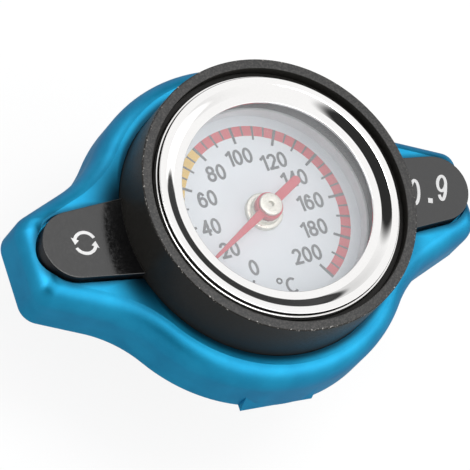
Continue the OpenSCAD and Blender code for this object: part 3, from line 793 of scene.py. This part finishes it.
def sector(vertices, faces, r_in, r_out, start, end, low, high, steps):
    """Adds a flat piece of a ring between two angles."""
    base = len(vertices)
    for k in range(steps + 1):
        angle = start + (end - start) * k / steps
        for r, z in ((r_in, low), (r_out, low), (r_out, high), (r_in, high)):
            vertices.append((*polar(r, angle), z))
    join_rows(faces, base, steps + 1, 4)


def ring_piece(name, *sizes):
    """One sector as an object of its own."""
    vertices, faces = [], []
    sector(vertices, faces, *sizes)
    return new_object(name, vertices, faces)


def make_band(name, low_reading, high_reading):
    start, end = scale_angle(low_reading), scale_angle(high_reading)
    return ring_piece(name, BAND_IN, BAND_OUT, start, end, DIAL_TOP, DIAL_TOP + PRINT_RISE, 120)


put(make_band("dial_band_red", RED_START, SCALE_END), "cap", "red_paint", PRINT_RED)
put(make_band("dial_band_yellow", YELLOW_START, RED_START), "cap", "white_paint", PRINT_YELLOW)


def make_ticks():
    vertices, faces = [], []
    top = DIAL_TOP + 2 * PRINT_RISE
    for reading in range(0, SCALE_END + 1, TICK_EVERY):
        _, r_in, wide = next(kind for kind in TICKS if reading % kind[0] == 0)
        half = math.degrees(wide / 2 / BAND_IN)
        middle = scale_angle(reading)
        sector(vertices, faces, r_in, BAND_OUT, middle - half, middle + half, DIAL_TOP, top, 1)
    return new_object("dial_ticks", vertices, faces)


put(make_ticks(), "cap", "white_paint", PRINT)


def strokes(sign, wide, tall, weight):
    """Centre lines of one sign in a box wide by tall: its closed loops, then its open lines."""
    half = weight / 2
    left, right, low, high = half, wide - half, half, tall - half
    mid, rx, span = wide / 2, wide / 2 - half, tall - weight
    if sign == "0":
        return [oval(mid, tall / 2, rx, span / 2)], []
    if sign == "1":
        return [], [[(right, 0), (right, tall)], [(right, high), (half / 2, tall * 0.74)]]
    if sign == "2":
        ry = span * 0.29
        bowl = oval(mid, high - ry, rx, ry, 168, -32)
        return [], [bowl + [(left + half / 2, low)], [(0, low), (wide, low)]]
    if sign == "4":
        stem, bar = wide * 0.72, tall * 0.29
        return [], [[(stem, 0), (stem, tall)], [(stem, high), (left, bar)], [(0, bar), (wide, bar)]]
    if sign == "6":
        ry = span * 0.31
        return [oval(mid, low + ry, rx, ry)], [oval(mid, low + ry, rx, high - low - ry, 180, 42)]
    if sign == "9":
        six = strokes("6", wide, tall, weight)
        return [[[(wide - x, tall - y) for x, y in points] for points in kind] for kind in six]
    if sign == "8":
        upper, lower = span * 0.235, span * 0.265
        return [oval(mid, high - upper, rx * 0.9, upper), oval(mid, low + lower, rx, lower)], []
    if sign == "C":
        return [], [oval(mid, tall / 2, rx, span / 2, 48, 312)]
    if sign == "°":
        return [oval(mid, tall - mid, rx, rx)], []
    return [], [[(mid, 0), (mid, weight)]]


def ribbon(vertices, faces, points, closed, weight, low, high):
    """Adds a flat band of the given width along a line of (x, y) points."""
    base = len(vertices)
    count = len(points)
    for k, (x, y) in enumerate(points):
        before = points[k - 1] if closed or k > 0 else points[k]
        after = points[(k + 1) % count] if closed or k < count - 1 else points[k]
        along = (Vector(after) - Vector(before)).normalized() * (weight / 2)
        for side, z in ((1, low), (1, high), (-1, high), (-1, low)):
            vertices.append((x - side * along.y, y + side * along.x, z))
    join_rows(faces, base, count, 4, closed)


# Signs narrower than the rest, as a share of their width
SIGN_WIDTHS = {"1": 0.68, ".": 0.32}


def lettering(name, entries, z, slant=0.0):
    """One object from (words, tall, wide, weight, gap, x, y, turn) entries, each centred on its place.
    A slant leans the signs to the right by that share of their height."""
    vertices, faces = [], []
    for words, tall, wide, weight, gap, x, y, turn in entries:
        widths = [wide * SIGN_WIDTHS.get(sign, 1.0) for sign in words]
        left = -(sum(widths) + gap * (len(words) - 1)) / 2
        for sign, width in zip(words, widths):
            loops, lines = strokes(sign, width, tall, weight)
            for step, points in enumerate(loops + lines):
                placed = [(px + left + slant * (py - tall / 2), py - tall / 2) for px, py in points]
                placed = rotated(placed, turn, x, y)
                closed = step < len(loops)
                ribbon(vertices, faces, placed, closed, weight, z - PRINT_RISE, z + PRINT_RISE * (2 + step))
            left += width + gap
    return new_object(name, vertices, faces)


# Places of the numbers, from 0 up
NUMBER_EVERY = 20
NUMBER_PLACES = (
    (-4.6, -8.73), (-7.65, -5.15), (-9.58, -1.04), (-8.67, 3.65), (-5.77, 7.69), (-0.98, 9.73),
    (4.65, 8.19), (7.19, 4.81), (8.62, 0.58), (7.77, -3.85), (5.1, -7.96),
)
NUMBER_TALL = 2.7
NUMBER_SIZE = (NUMBER_TALL, 1.6, 0.45, 0.16)
DEGREE_SIGN = ("°", 1.1, 1.1, 0.3, 0.0, -1.05, -11.58, DIAL_TURN)
UNIT_SIGN = ("C", NUMBER_TALL, 2.2, 0.42, 0.0, 0.92, -12.6, DIAL_TURN)
TAB_SIGN_TALL = 4.45
TAB_SIGN_WIDE = 2.0
TAB_SIGN_Y = -0.13
TAB_SIGN_SLANT = 0.3

# Each sign of the right tab's number: its place along the tab and the weight of its strokes
TAB_SIGNS = (("0", 27.9, 0.52), (".", 30.68, 0.8), ("9", 32.87, 0.52))

dial_signs = [
    (str(k * NUMBER_EVERY), *NUMBER_SIZE, *place, DIAL_TURN) for k, place in enumerate(NUMBER_PLACES)
]
dial_signs += [DEGREE_SIGN, UNIT_SIGN]
put(lettering("dial_numbers", dial_signs, DIAL_TOP), "cap", "white_paint", PRINT)
tab_signs = [
    (sign, TAB_SIGN_TALL, TAB_SIGN_WIDE, weight, 0.0, x, TAB_SIGN_Y, 0.0) for sign, x, weight in TAB_SIGNS
]
put(lettering("tab_number", tab_signs, TAB_TOP, TAB_SIGN_SLANT), "cap", "bright_steel", MARK)

ARROW_X = -30.6
ARROW_R = 1.75
ARROW_HALF = 0.26
ARROW_ARCS = ((20, 150), (200, 330))
ARROW_HEAD_HALF = 2.6 * ARROW_HALF
ARROW_HEAD_TURN = 32
ARROW_LEVELS = (TAB_TOP - 0.01, TAB_TOP + 0.03)


def make_turn_mark():
    """A plain turning sign on the left tab: two arrows round a circle."""
    vertices, faces = [], []
    for start, end in ARROW_ARCS:
        sector(vertices, faces, ARROW_R - ARROW_HALF, ARROW_R + ARROW_HALF, start, end, *ARROW_LEVELS, 24)
        base = len(vertices)
        for z in ARROW_LEVELS:
            vertices.append((*polar(ARROW_R - ARROW_HEAD_HALF, end), z))
            vertices.append((*polar(ARROW_R + ARROW_HEAD_HALF, end), z))
            vertices.append((*polar(ARROW_R, end + ARROW_HEAD_TURN), z))
        join_rows(faces, base, 2, 3)
    return new_object("tab_turn_mark", [(x + ARROW_X, y, z) for x, y, z in vertices], faces)


put(make_turn_mark(), "cap", "bright_steel", MARK)


# The pointer

NEEDLE_REACH = 14.2
NEEDLE_ROOT_HALF = 0.8
NEEDLE_TIP_HALF = 0.25
NEEDLE_TIP_TURN = 88
TAIL_REACH = 7.6
TAIL_HALF = 0.75
TAIL_START = -0.4
NEEDLE_EDGE = 0.1
HUB_R = 2.25
CAP_R = 1.9
CAP_TOP = HUB_TOP + 0.6
DIMPLE_R = 0.5
DIMPLE_FLOOR_R = 0.45
DIMPLE_FLOOR = CAP_TOP - 0.5


def needle_outline(grow):
    """The needle and its tail at the rest reading, grown by the given distance."""
    root, tip, tail = NEEDLE_ROOT_HALF + grow, NEEDLE_TIP_HALF + grow, TAIL_HALF + grow
    points = [(0.0, -root)]
    points += arc((NEEDLE_REACH - NEEDLE_TIP_HALF, 0), tip, -NEEDLE_TIP_TURN, NEEDLE_TIP_TURN, 10)
    points += [(0.0, root), (TAIL_START, tail)]
    points += arc((TAIL_HALF - TAIL_REACH, 0), tail, 90, 270, 16)
    points += [(TAIL_START, -tail)]
    return rotated(points, REST_ANGLE)


def make_pointer():
    low = NEEDLE_LOW + NEEDLE_EDGE
    high = HUB_TOP - NEEDLE_EDGE
    levels = ((-NEEDLE_EDGE, NEEDLE_LOW), (0, low), (0, high), (-NEEDLE_EDGE, HUB_TOP))
    needle = loft("pointer_red", needle_outline, levels)
    hub_corners = [(0, HUB_LOW, 0), (HUB_R, HUB_LOW, 0.1), (HUB_R, HUB_TOP, 0.12), (0, HUB_TOP, 0)]
    combine(needle, [lathe("hub", rounded(hub_corners), 96, False)], "UNION")
    combine(needle, [drum("hole", SHAFT_HOLE_R, HUB_LOW - CUT, HUB_TOP + CUT, 48)], "DIFFERENCE")
    return crisp(needle)


put(make_pointer(), "pointer_body", "red_paint", RED, "pointer")

cap_outside = rounded([
    (CAP_R, HUB_TOP, 0.05),
    (CAP_R, CAP_TOP, 0.18),
    (DIMPLE_R, CAP_TOP, 0.05),
    (DIMPLE_FLOOR_R, DIMPLE_FLOOR, 0.05),
])
cap = lathe("pointer_cap_silver", [(0, HUB_TOP)] + cap_outside + [(0, DIMPLE_FLOOR)], 96, False)
put(crisp(cap), "pointer_body", "bright_steel", SILVER, "pointer_cap")


# The screws, the stem, the shell and the valve under the cover

SCREW_R = 1.5
SCREW_TOP = POCKET_Z + 2.0
SCREW_HEAD_R = 2.7
SCREW_HEAD_LOW = SCREW_HEAD_TOP - 1.6
SOCKET_CORNER_R = 1.0 / math.cos(math.radians(30))
SOCKET_LEVELS = (SCREW_HEAD_LOW - 0.5, SCREW_HEAD_LOW + 0.8)
PROBE_FLOOR = PROBE_LOW + PROBE_R
PROBE_TIP_STEPS = 18
PROBE_BORE_R = 2.2
CLIP_GROOVE_R = 2.6
FLANGE_R = 6.5
FLANGE_TOP = CASE_FLOOR + 0.7
NUT_HOLE_R = 4.05
NUT_CORNER_R = 6.004
NUT_CHAMFER = 0.45
NUT_CONE_R = NUT_CORNER_R + 0.3
WASHER_R = 5.6
CAM_IN_R = 18.8
CAM_OUT_R = SHELL_IN_R + 0.5
CAM_HALF_TURN = 23
CAM_LEVELS = (SHELL_LOW + 0.03, SHELL_LOW + 1.0)
COIL_SIDES = 14
COIL_RINGS = 44
COIL_END_EASE = 0.35
SEAT_IN_R = 6.604
DIAPHRAGM_R = 21.9
GASKET_IN_R = 16.2
GASKET_R = 20.9
COLLAR_IN_R = 8.4
COLLAR_R = 9.2
SEAT_R = 11.95
SPRING_R = 10.451
SPRING_WIRE = 1.5
SPRING_TURNS = 2.75
CLOSED_TURNS = 0.8
SLEEVE_IN_R = 3.05
SLEEVE_R = 4.45
PLATE_R = 13.1
O_RING_SEAT_R = 4.0
O_RING_SEAT_TOP = -9.7
O_RING_SEAT_LOW = -10.7
O_RING_CENTRE = (3.5, -10.2)
O_RING_WIRE_R = 0.45
SEAL_R = 14.0
SEAL_FACE_R = 10.8
SEAL_IN_R = 9.35
RETAINER_IN_R = 8.7
RETAINER_WALL_R = 9.3
RETAINER_R = 10.5
CLIP_IN_R = 2.65
CLIP_R = 4.2
CLIP_TURNS = (25, 335)
CLIP_LEVELS = (CLIP_LOW + 0.02, CLIP_TOP - 0.02)
POPPET_X = 6.55
POPPET_R = 1.5
POPPET_STEM_R = 0.6
POPPET_TIP_R = 0.3
POPPET_HOLE_R = 0.65
POPPET_CLIP_R = 1.45
POPPET_SPRING_R = 1.05
POPPET_WIRE = 0.3
POPPET_TURNS = 3
SPINDLE_HEAD_R = 1.9
SPINDLE_HEAD_TOP = BIMETAL_TOP + 0.5
BIMETAL_R = 1.4
BIMETAL_WIRE = 0.5
BIMETAL_TURNS = 9


def hexagon(corner_r, x=0.0):
    return oval(x, 0.0, corner_r, corner_r, steps=6)


def make_screws():
    made = []
    for x in (SCREW_X, -SCREW_X):
        screw = lathe("cover_screws", rounded([
            (0, SCREW_HEAD_LOW, 0),
            (SCREW_HEAD_R, SCREW_HEAD_LOW, 0.25),
            (SCREW_HEAD_R, SCREW_HEAD_TOP, 0.05),
            (SCREW_R, SCREW_HEAD_TOP, 0),
            (SCREW_R, SCREW_TOP, 0.2),
            (0, SCREW_TOP, 0),
        ]), 48, False, (x, 0))
        socket = loft("socket", partial(hexagon, x=x), [(SOCKET_CORNER_R, z) for z in SOCKET_LEVELS])
        made.append(combine(screw, [socket], "DIFFERENCE"))
    combine(made[0], [made[1]], "UNION")
    return smooth(made[0], degrees=25)


def make_stem():
    tip = [(0, PROBE_LOW)] + arc((0, PROBE_FLOOR), PROBE_R, -90, 0, PROBE_TIP_STEPS)[1:]
    outside = rounded([
        (PROBE_R, CLIP_LOW, 0.05),
        (CLIP_GROOVE_R, CLIP_LOW, 0.05),
        (CLIP_GROOVE_R, CLIP_TOP, 0.05),
        (PROBE_R, CLIP_TOP, 0.05),
        (PROBE_R, NUT_LOW, 0.15),
        (SHANK_R, NUT_LOW, 0.2),
        (SHANK_R, CASE_FLOOR, 0.1),
        (FLANGE_R, CASE_FLOOR, 0.1),
        (FLANGE_R, FLANGE_TOP, 0.1),
        (PROBE_BORE_R, FLANGE_TOP, 0.1),
        (PROBE_BORE_R, PROBE_FLOOR, 0),
    ])
    return smooth(lathe("probe_stem", tip + outside + [(0, PROBE_FLOOR)], 96, False))


def make_nut():
    nut = loft("clamp_nut", hexagon, ((NUT_CORNER_R, NUT_LOW), (NUT_CORNER_R, NUT_TOP)))
    cone = lathe("cone", [
        (0, NUT_LOW),
        (NUT_CORNER_R - NUT_CHAMFER, NUT_LOW),
        (NUT_CONE_R, NUT_LOW + NUT_CHAMFER),
        (NUT_CONE_R, NUT_TOP - NUT_CHAMFER),
        (NUT_CORNER_R - NUT_CHAMFER, NUT_TOP),
        (0, NUT_TOP),
    ], 96, False)
    combine(nut, [cone], "INTERSECT")
    combine(nut, [drum("hole", NUT_HOLE_R, NUT_LOW - CUT, NUT_TOP + CUT, 64)], "DIFFERENCE")
    return smooth(nut, degrees=20)


def make_shell():
    """The pressed cap with its two cam lugs."""
    shell = lathe("pressed_shell", rounded([
        (SHANK_HOLE_R, SHELL_UNDER, 0.1),
        (SHELL_IN_R, SHELL_UNDER, 0.5),
        (SHELL_IN_R, SHELL_LOW, 0.15),
        (SHELL_R, SHELL_LOW, 0.15),
        (SHELL_R, RECESS_Z, 1.2),
        (SHANK_HOLE_R, RECESS_Z, 0.1),
    ]), 192)
    lugs = []
    for middle in (90, 270):
        start, end = middle - CAM_HALF_TURN, middle + CAM_HALF_TURN
        lugs.append(ring_piece("lug", CAM_IN_R, CAM_OUT_R, start, end, *CAM_LEVELS, 24))
    return smooth(combine(shell, lugs, "UNION"))


def make_coil(name, r, wire, turns, low, high, centre=(0.0, 0.0), closed_turns=0.0):
    """A coil of round wire from low to high, with flat closed turns at both ends."""
    flat = round(closed_turns * COIL_RINGS)
    active = round(turns * COIL_RINGS)
    bottom, top = low + wire / 2, high - wire / 2
    path = []
    for k in range(-flat, active + flat + 1):
        t = min(max(k / active, 0.0), 1.0)
        share = (1 - COIL_END_EASE) * t + COIL_END_EASE * (eased(t) if closed_turns else t)
        path.append((360 * k / COIL_RINGS, bottom + (top - bottom) * share))
    points = [Vector((*polar(r, angle), z)) for angle, z in path]
    vertices, faces = [], []
    for k, (angle, _) in enumerate(path):
        before = points[max(k - 1, 0)]
        after = points[min(k + 1, len(points) - 1)]
        tangent = (after - before).normalized()
        out = Vector((*polar(1.0, angle), 0.0))
        wide = (out - tangent * out.dot(tangent)).normalized()
        tall = tangent.cross(wide)
        for u, v in oval(0, 0, wire / 2, wire / 2, steps=COIL_SIDES):
            p = points[k] + wide * u + tall * v
            vertices.append((p.x + centre[0], p.y + centre[1], p.z))
    join_rows(faces, 0, len(points), COIL_SIDES)
    return smooth(new_object(name, vertices, faces), degrees=50)


def make_valve_plate():
    """The plate and its sleeve, with the o-ring's seat inside and a hole for the return valve."""
    valve = lathe("valve_plate_pressed", rounded([
        (SLEEVE_IN_R, SLEEVE_LOW, 0.1),
        (SLEEVE_R, SLEEVE_LOW, 0.1),
        (SLEEVE_R, PLATE_LOW, 0.15),
        (PLATE_R, PLATE_LOW, 0.2),
        (PLATE_R, PLATE_TOP, 0.2),
        (SLEEVE_R, PLATE_TOP, 0.3),
        (SLEEVE_R, SLEEVE_TOP, 0.15),
        (SLEEVE_IN_R, SLEEVE_TOP, 0.1),
        (SLEEVE_IN_R, O_RING_SEAT_TOP, 0),
        (O_RING_SEAT_R, O_RING_SEAT_TOP, 0),
        (O_RING_SEAT_R, O_RING_SEAT_LOW, 0),
        (SLEEVE_IN_R, O_RING_SEAT_LOW, 0),
    ], steps=3), 128)
    hole = drum("hole", POPPET_HOLE_R, PLATE_LOW - CUT, PLATE_TOP + CUT, 32, (POPPET_X, 0))
    return smooth(combine(valve, [hole], "DIFFERENCE"))


put(make_screws(), "cap", "bright_steel", STEEL, "housing_screws")
put(make_stem(), "cap", "bright_steel", STEEL, "stem_tube")
washer = ring("clamp_washer", NUT_HOLE_R, WASHER_R, NUT_TOP, SHELL_UNDER, soft=0.08, steps=96)
put(washer, "cap", "bright_steel", STEEL, "stem_washer")
put(make_nut(), "cap", "brass", BRASS, "stem_nut")
put(make_shell(), "cap", "plated_steel", PLATED, "cam_shell")
disc = ring("spring_diaphragm", SEAT_IN_R, DIAPHRAGM_R, SEAT_TOP, DIAPHRAGM_TOP)
put(disc, "seal_pack", "spring_steel", SPRING, "diaphragm")
rim_gasket = ring("rim_gasket_rubber", GASKET_IN_R, GASKET_R, GASKET_LOW, SEAT_TOP, soft=0.15)
put(rim_gasket, "seal_pack", "rubber", RUBBER, "rim_gasket")

put(turned("spring_cup", [
    (SEAT_IN_R, SPRING_TOP, 0.1),
    (COLLAR_IN_R, SPRING_TOP, 0.2),
    (COLLAR_IN_R, COLLAR_LOW, 0.1),
    (COLLAR_R, COLLAR_LOW, 0.2),
    (COLLAR_R, SPRING_TOP, 0.2),
    (SEAT_R, SPRING_TOP, 0.15),
    (SEAT_R, SEAT_TOP, 0.15),
    (SEAT_IN_R, SEAT_TOP, 0.1),
], 128), "seal_pack", "plated_steel", PLATED, "spring_seat")

spring = make_coil(
    "pressure_spring", SPRING_R, SPRING_WIRE, SPRING_TURNS, PLATE_TOP, SPRING_TOP, closed_turns=CLOSED_TURNS
)
put(spring, "seal_pack", "spring_steel", SPRING, "main_spring")
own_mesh(spring)

put(make_valve_plate(), "pressure_valve", "plated_steel", PLATED, "valve_plate")

put(turned("pressure_seal_rubber", [
    (SEAL_IN_R, SEAL_STEP, 0.1),
    (SEAL_FACE_R, SEAL_STEP, 0.1),
    (SEAL_FACE_R, SEAL_LOW, 0.3),
    (SEAL_R, SEAL_LOW, 0.3),
    (SEAL_R, PLATE_LOW, 0.3),
    (SEAL_IN_R, PLATE_LOW, 0.05),
], 160), "pressure_valve", "rubber", RUBBER, "pressure_seal")

put(turned("retainer_pressed", [
    (RETAINER_IN_R, RETAINER_LOW, 0.25),
    (RETAINER_R, RETAINER_LOW, 0.15),
    (RETAINER_R, SEAL_STEP, 0.15),
    (RETAINER_WALL_R, SEAL_STEP, 0.1),
    (RETAINER_WALL_R, PLATE_LOW, 0),
    (RETAINER_IN_R, PLATE_LOW, 0),
], 128), "pressure_valve", "plated_steel", PLATED, "seal_retainer")

o_ring = lathe("sleeve_o_ring", arc(O_RING_CENTRE, O_RING_WIRE_R, 0, 345, 23), 96)
put(smooth(o_ring, degrees=60), "pressure_valve", "rubber", RUBBER, "stem_o_ring")
clip = ring_piece("retaining_clip", CLIP_IN_R, CLIP_R, *CLIP_TURNS, *CLIP_LEVELS, 72)
put(smooth(clip), "cap", "spring_steel", SPRING, "retaining_ring")

poppet_outside = rounded([
    (POPPET_R, POPPET_LOW, 0.15),
    (POPPET_R, PLATE_LOW, 0.08),
    (POPPET_STEM_R, PLATE_LOW, 0),
    (POPPET_STEM_R, POPPET_TOP, 0.12),
    (POPPET_TIP_R, POPPET_TOP, 0),
])
poppet_profile = [(0, POPPET_LOW)] + poppet_outside + [(0, POPPET_TOP)]
poppet = lathe("return_valve_brass", poppet_profile, 64, False, (POPPET_X, 0))
put(smooth(poppet), "return_valve", "brass", BRASS, "vacuum_valve")

put(turned("return_valve_clip", [
    (POPPET_HOLE_R, POPPET_CLIP_LOW, 0.05),
    (POPPET_CLIP_R, POPPET_CLIP_LOW, 0.1),
    (POPPET_CLIP_R, POPPET_TOP, 0.1),
    (POPPET_HOLE_R, POPPET_TOP, 0.05),
], 48, fine=3, centre=(POPPET_X, 0)), "return_valve", "brass", BRASS, "vacuum_clip")

light = make_coil(
    "return_spring", POPPET_SPRING_R, POPPET_WIRE, POPPET_TURNS, PLATE_TOP, POPPET_CLIP_LOW,
    (POPPET_X, 0), CLOSED_TURNS
)
put(light, "pressure_valve", "spring_steel", SPRING, "vacuum_spring")
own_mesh(light)

put(turned("spindle", [
    (0, BIMETAL_TOP, 0),
    (SPINDLE_HEAD_R, BIMETAL_TOP, 0.1),
    (SPINDLE_HEAD_R, SPINDLE_HEAD_TOP, 0.1),
    (SHAFT_R, SPINDLE_HEAD_TOP, 0.1),
    (SHAFT_R, HUB_TOP, 0),
    (0, HUB_TOP, 0),
], 48, fine=3, closed=False), "pointer_body", "bright_steel", STEEL, "pointer_shaft")
strip = make_coil("bimetal_winding", BIMETAL_R, BIMETAL_WIRE, BIMETAL_TURNS, PROBE_FLOOR, BIMETAL_TOP)
put(strip, "cap", "bimetal", BIMETAL, "bimetal_coil")

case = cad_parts["gauge_case"]
case.data.materials.clear()
case.data.materials.append(PLATED)


# The camera, at the photograph's viewing angle

CAMERA_PLACE = Vector((-0.351388, -0.229451, 0.648728))
CAMERA_RIGHT = Vector((0.88023235, -0.29678637, 0.37028214))
CAMERA_UP = Vector((0.13915014, 0.9074182, 0.39652169))
FOCAL_PIXELS = 4901.35
FRAME_PIXELS = 470
SENSOR_WIDTH = 36.0


def make_camera():
    data = bpy.data.cameras.new("camera")
    data.sensor_fit = "HORIZONTAL"
    data.sensor_width = SENSOR_WIDTH
    data.lens = FOCAL_PIXELS * SENSOR_WIDTH / FRAME_PIXELS
    data.clip_start = 0.01
    data.clip_end = 10.0
    camera = add_object("camera", data)
    turn = Matrix((CAMERA_RIGHT, CAMERA_UP, CAMERA_RIGHT.cross(CAMERA_UP))).transposed()
    camera.matrix_world = Matrix.Translation(CAMERA_PLACE) @ turn.to_4x4()
    bpy.context.scene.camera = camera


make_camera()


# The light

def heading(degrees):
    """A level direction, counted from +X towards +Y."""
    return (*polar(1.0, degrees), 0.0)


# What shiny surfaces mirror: bright on one side and hazy low down, dark on the other side but for a glow
# low down that leaves out the front, and a dark low stretch at the back. The rest gets the soft fill.
# Each step has its two edges, then its levels before and after them.
BRIGHT_SIDE = heading(3.7)
BRIGHT_STEP = ((-0.23, -0.07), (0.03, 1.1))
HAZE_STEP = ((0.3, 0.8), (0.7, 1.0))
GLOW_RISE = (0.225, 0.268, 1.0)
GLOW_STEP = ((0.58, 0.74), (1.8, 0.0))
GLOW_FOOT_STEP = ((0.05, 0.4), (0.5, 1.0))
FRONT_SIDE = heading(213)
FRONT_STEP = ((0.58, 1.02), (1.0, 0.0))
BACK_SIDE = heading(40)
BACK_STEP = ((0.55, 0.75), (0.0, 1.0))
BACK_RISE = (0.0, -0.19, 1.0)
BACK_TOP_STEP = ((0.18, 0.24), (0.95, 0.0))
FILL_STEP = ((-0.9, 0.3), (0.55, 1.0))


def make_world():
    """White to the camera, a shaped studio to shiny surfaces and a soft fill to the rest."""
    world = bpy.data.worlds.new("studio")
    bpy.context.scene.world = world
    world.use_nodes = True
    tree = world.node_tree
    tree.nodes.clear()
    calc = partial(math_node, tree)
    ramp = partial(ramp_node, tree)
    place = tree.nodes.new("ShaderNodeTexCoord").outputs["Generated"]

    def along(direction):
        return calc("DOT_PRODUCT", place, direction, kind="ShaderNodeVectorMath")

    side = along(BRIGHT_SIDE)
    height = along((0.0, 0.0, 1.0))
    bright = calc("MULTIPLY", ramp(side, *BRIGHT_STEP), ramp(height, *HAZE_STEP))
    glow = calc("MULTIPLY", ramp(along(GLOW_RISE), *GLOW_STEP), ramp(along(FRONT_SIDE), *FRONT_STEP))
    glow = calc("MULTIPLY", glow, ramp(height, *GLOW_FOOT_STEP))
    low = ramp(along(BACK_RISE), *BACK_TOP_STEP)
    back = calc("MULTIPLY", ramp(along(BACK_SIDE), *BACK_STEP), low)
    studio = calc("MULTIPLY", calc("MAXIMUM", bright, glow), calc("SUBTRACT", 1.0, back))
    path = tree.nodes.new("ShaderNodeLightPath").outputs
    shiny = calc("MAXIMUM", path["Is Glossy Ray"], path["Is Transmission Ray"])
    fill = calc("MULTIPLY", ramp(side, *FILL_STEP), calc("SUBTRACT", 1.0, shiny))
    lit = calc("MULTIPLY_ADD", studio, shiny, fill)
    background = tree.nodes.new("ShaderNodeBackground")
    background.inputs["Color"].default_value = (1, 1, 1, 1)
    tree.links.new(calc("MAXIMUM", lit, path["Is Camera Ray"]), background.inputs["Strength"])
    out = tree.nodes.new("ShaderNodeOutputWorld")
    tree.links.new(background.outputs[0], out.inputs["Surface"])


make_world()

# The floor shows white to the camera, with a faint shadow near the cap, and bounces light as a mid grey
FLOOR_HALF = 2000.0
FLOOR_Z = PROBE_LOW - 0.5
FLOOR_PALE = 0.95
FLOOR_GREY = 0.38
CLEAR_STEP = ((0.08, 0.4), (0.82, 1.0))
GLOSSY_FLOOR = 0.08


def make_floor():
    corners = [(x * FLOOR_HALF, y * FLOOR_HALF) for x, y in ((-1, -1), (1, -1), (1, 1), (-1, 1))]
    floor = new_object("floor", level(corners, FLOOR_Z), [(0, 1, 2, 3)])
    s = Shader("floor_white")
    path = s.node("ShaderNodeLightPath").outputs
    pale = s.math("MULTIPLY_ADD", path["Is Camera Ray"], FLOOR_PALE - FLOOR_GREY, FLOOR_GREY)
    s.set(Base_Color=pale, Roughness=0.8)
    glow = s.node("ShaderNodeEmission", Strength=1.0)
    clear = s.span(s.math("LENGTH", s.place, kind="ShaderNodeVectorMath"), *CLEAR_STEP)
    seen = s.math("MAXIMUM", path["Is Camera Ray"], path["Is Transmission Ray"])
    mirrored = s.math("MULTIPLY", path["Is Glossy Ray"], GLOSSY_FLOOR)
    share = s.math("MAXIMUM", s.math("MULTIPLY", seen, clear), mirrored)
    join = s.node("ShaderNodeMixShader")
    for socket, given in zip(join.inputs, (share, s.bsdf.outputs[0], glow.outputs[0])):
        feed(s.tree, socket, given)
    feed(s.tree, s.tree.nodes["Material Output"].inputs["Surface"], join.outputs[0])
    floor.data.materials.append(s.material)


make_floor()

LAMP_AIM = Vector((0, 0, 0.008))


def make_lamp(name, place, size, power, mirrored):
    """A soft square lamp aimed at the dial, and whether shiny surfaces show it."""
    data = bpy.data.lights.new(name, "AREA")
    data.shape = "SQUARE"
    data.size = size
    data.energy = power
    lamp = add_object(name, data)
    lamp.location = place
    lamp.rotation_euler = (LAMP_AIM - Vector(place)).to_track_quat("-Z", "Y").to_euler()
    lamp.visible_camera = False
    lamp.visible_glossy = mirrored


make_lamp("key", (0.5, -0.45, 0.2), size=0.5, power=2.6, mirrored=False)
make_lamp("top", (0.109, 0.07, 0.739), size=0.3, power=1.4, mirrored=True)
make_lamp("side", (-0.6, 0.1, 0.08), size=0.35, power=0.7, mirrored=True)

bpy.context.scene.view_settings.view_transform = "Standard"
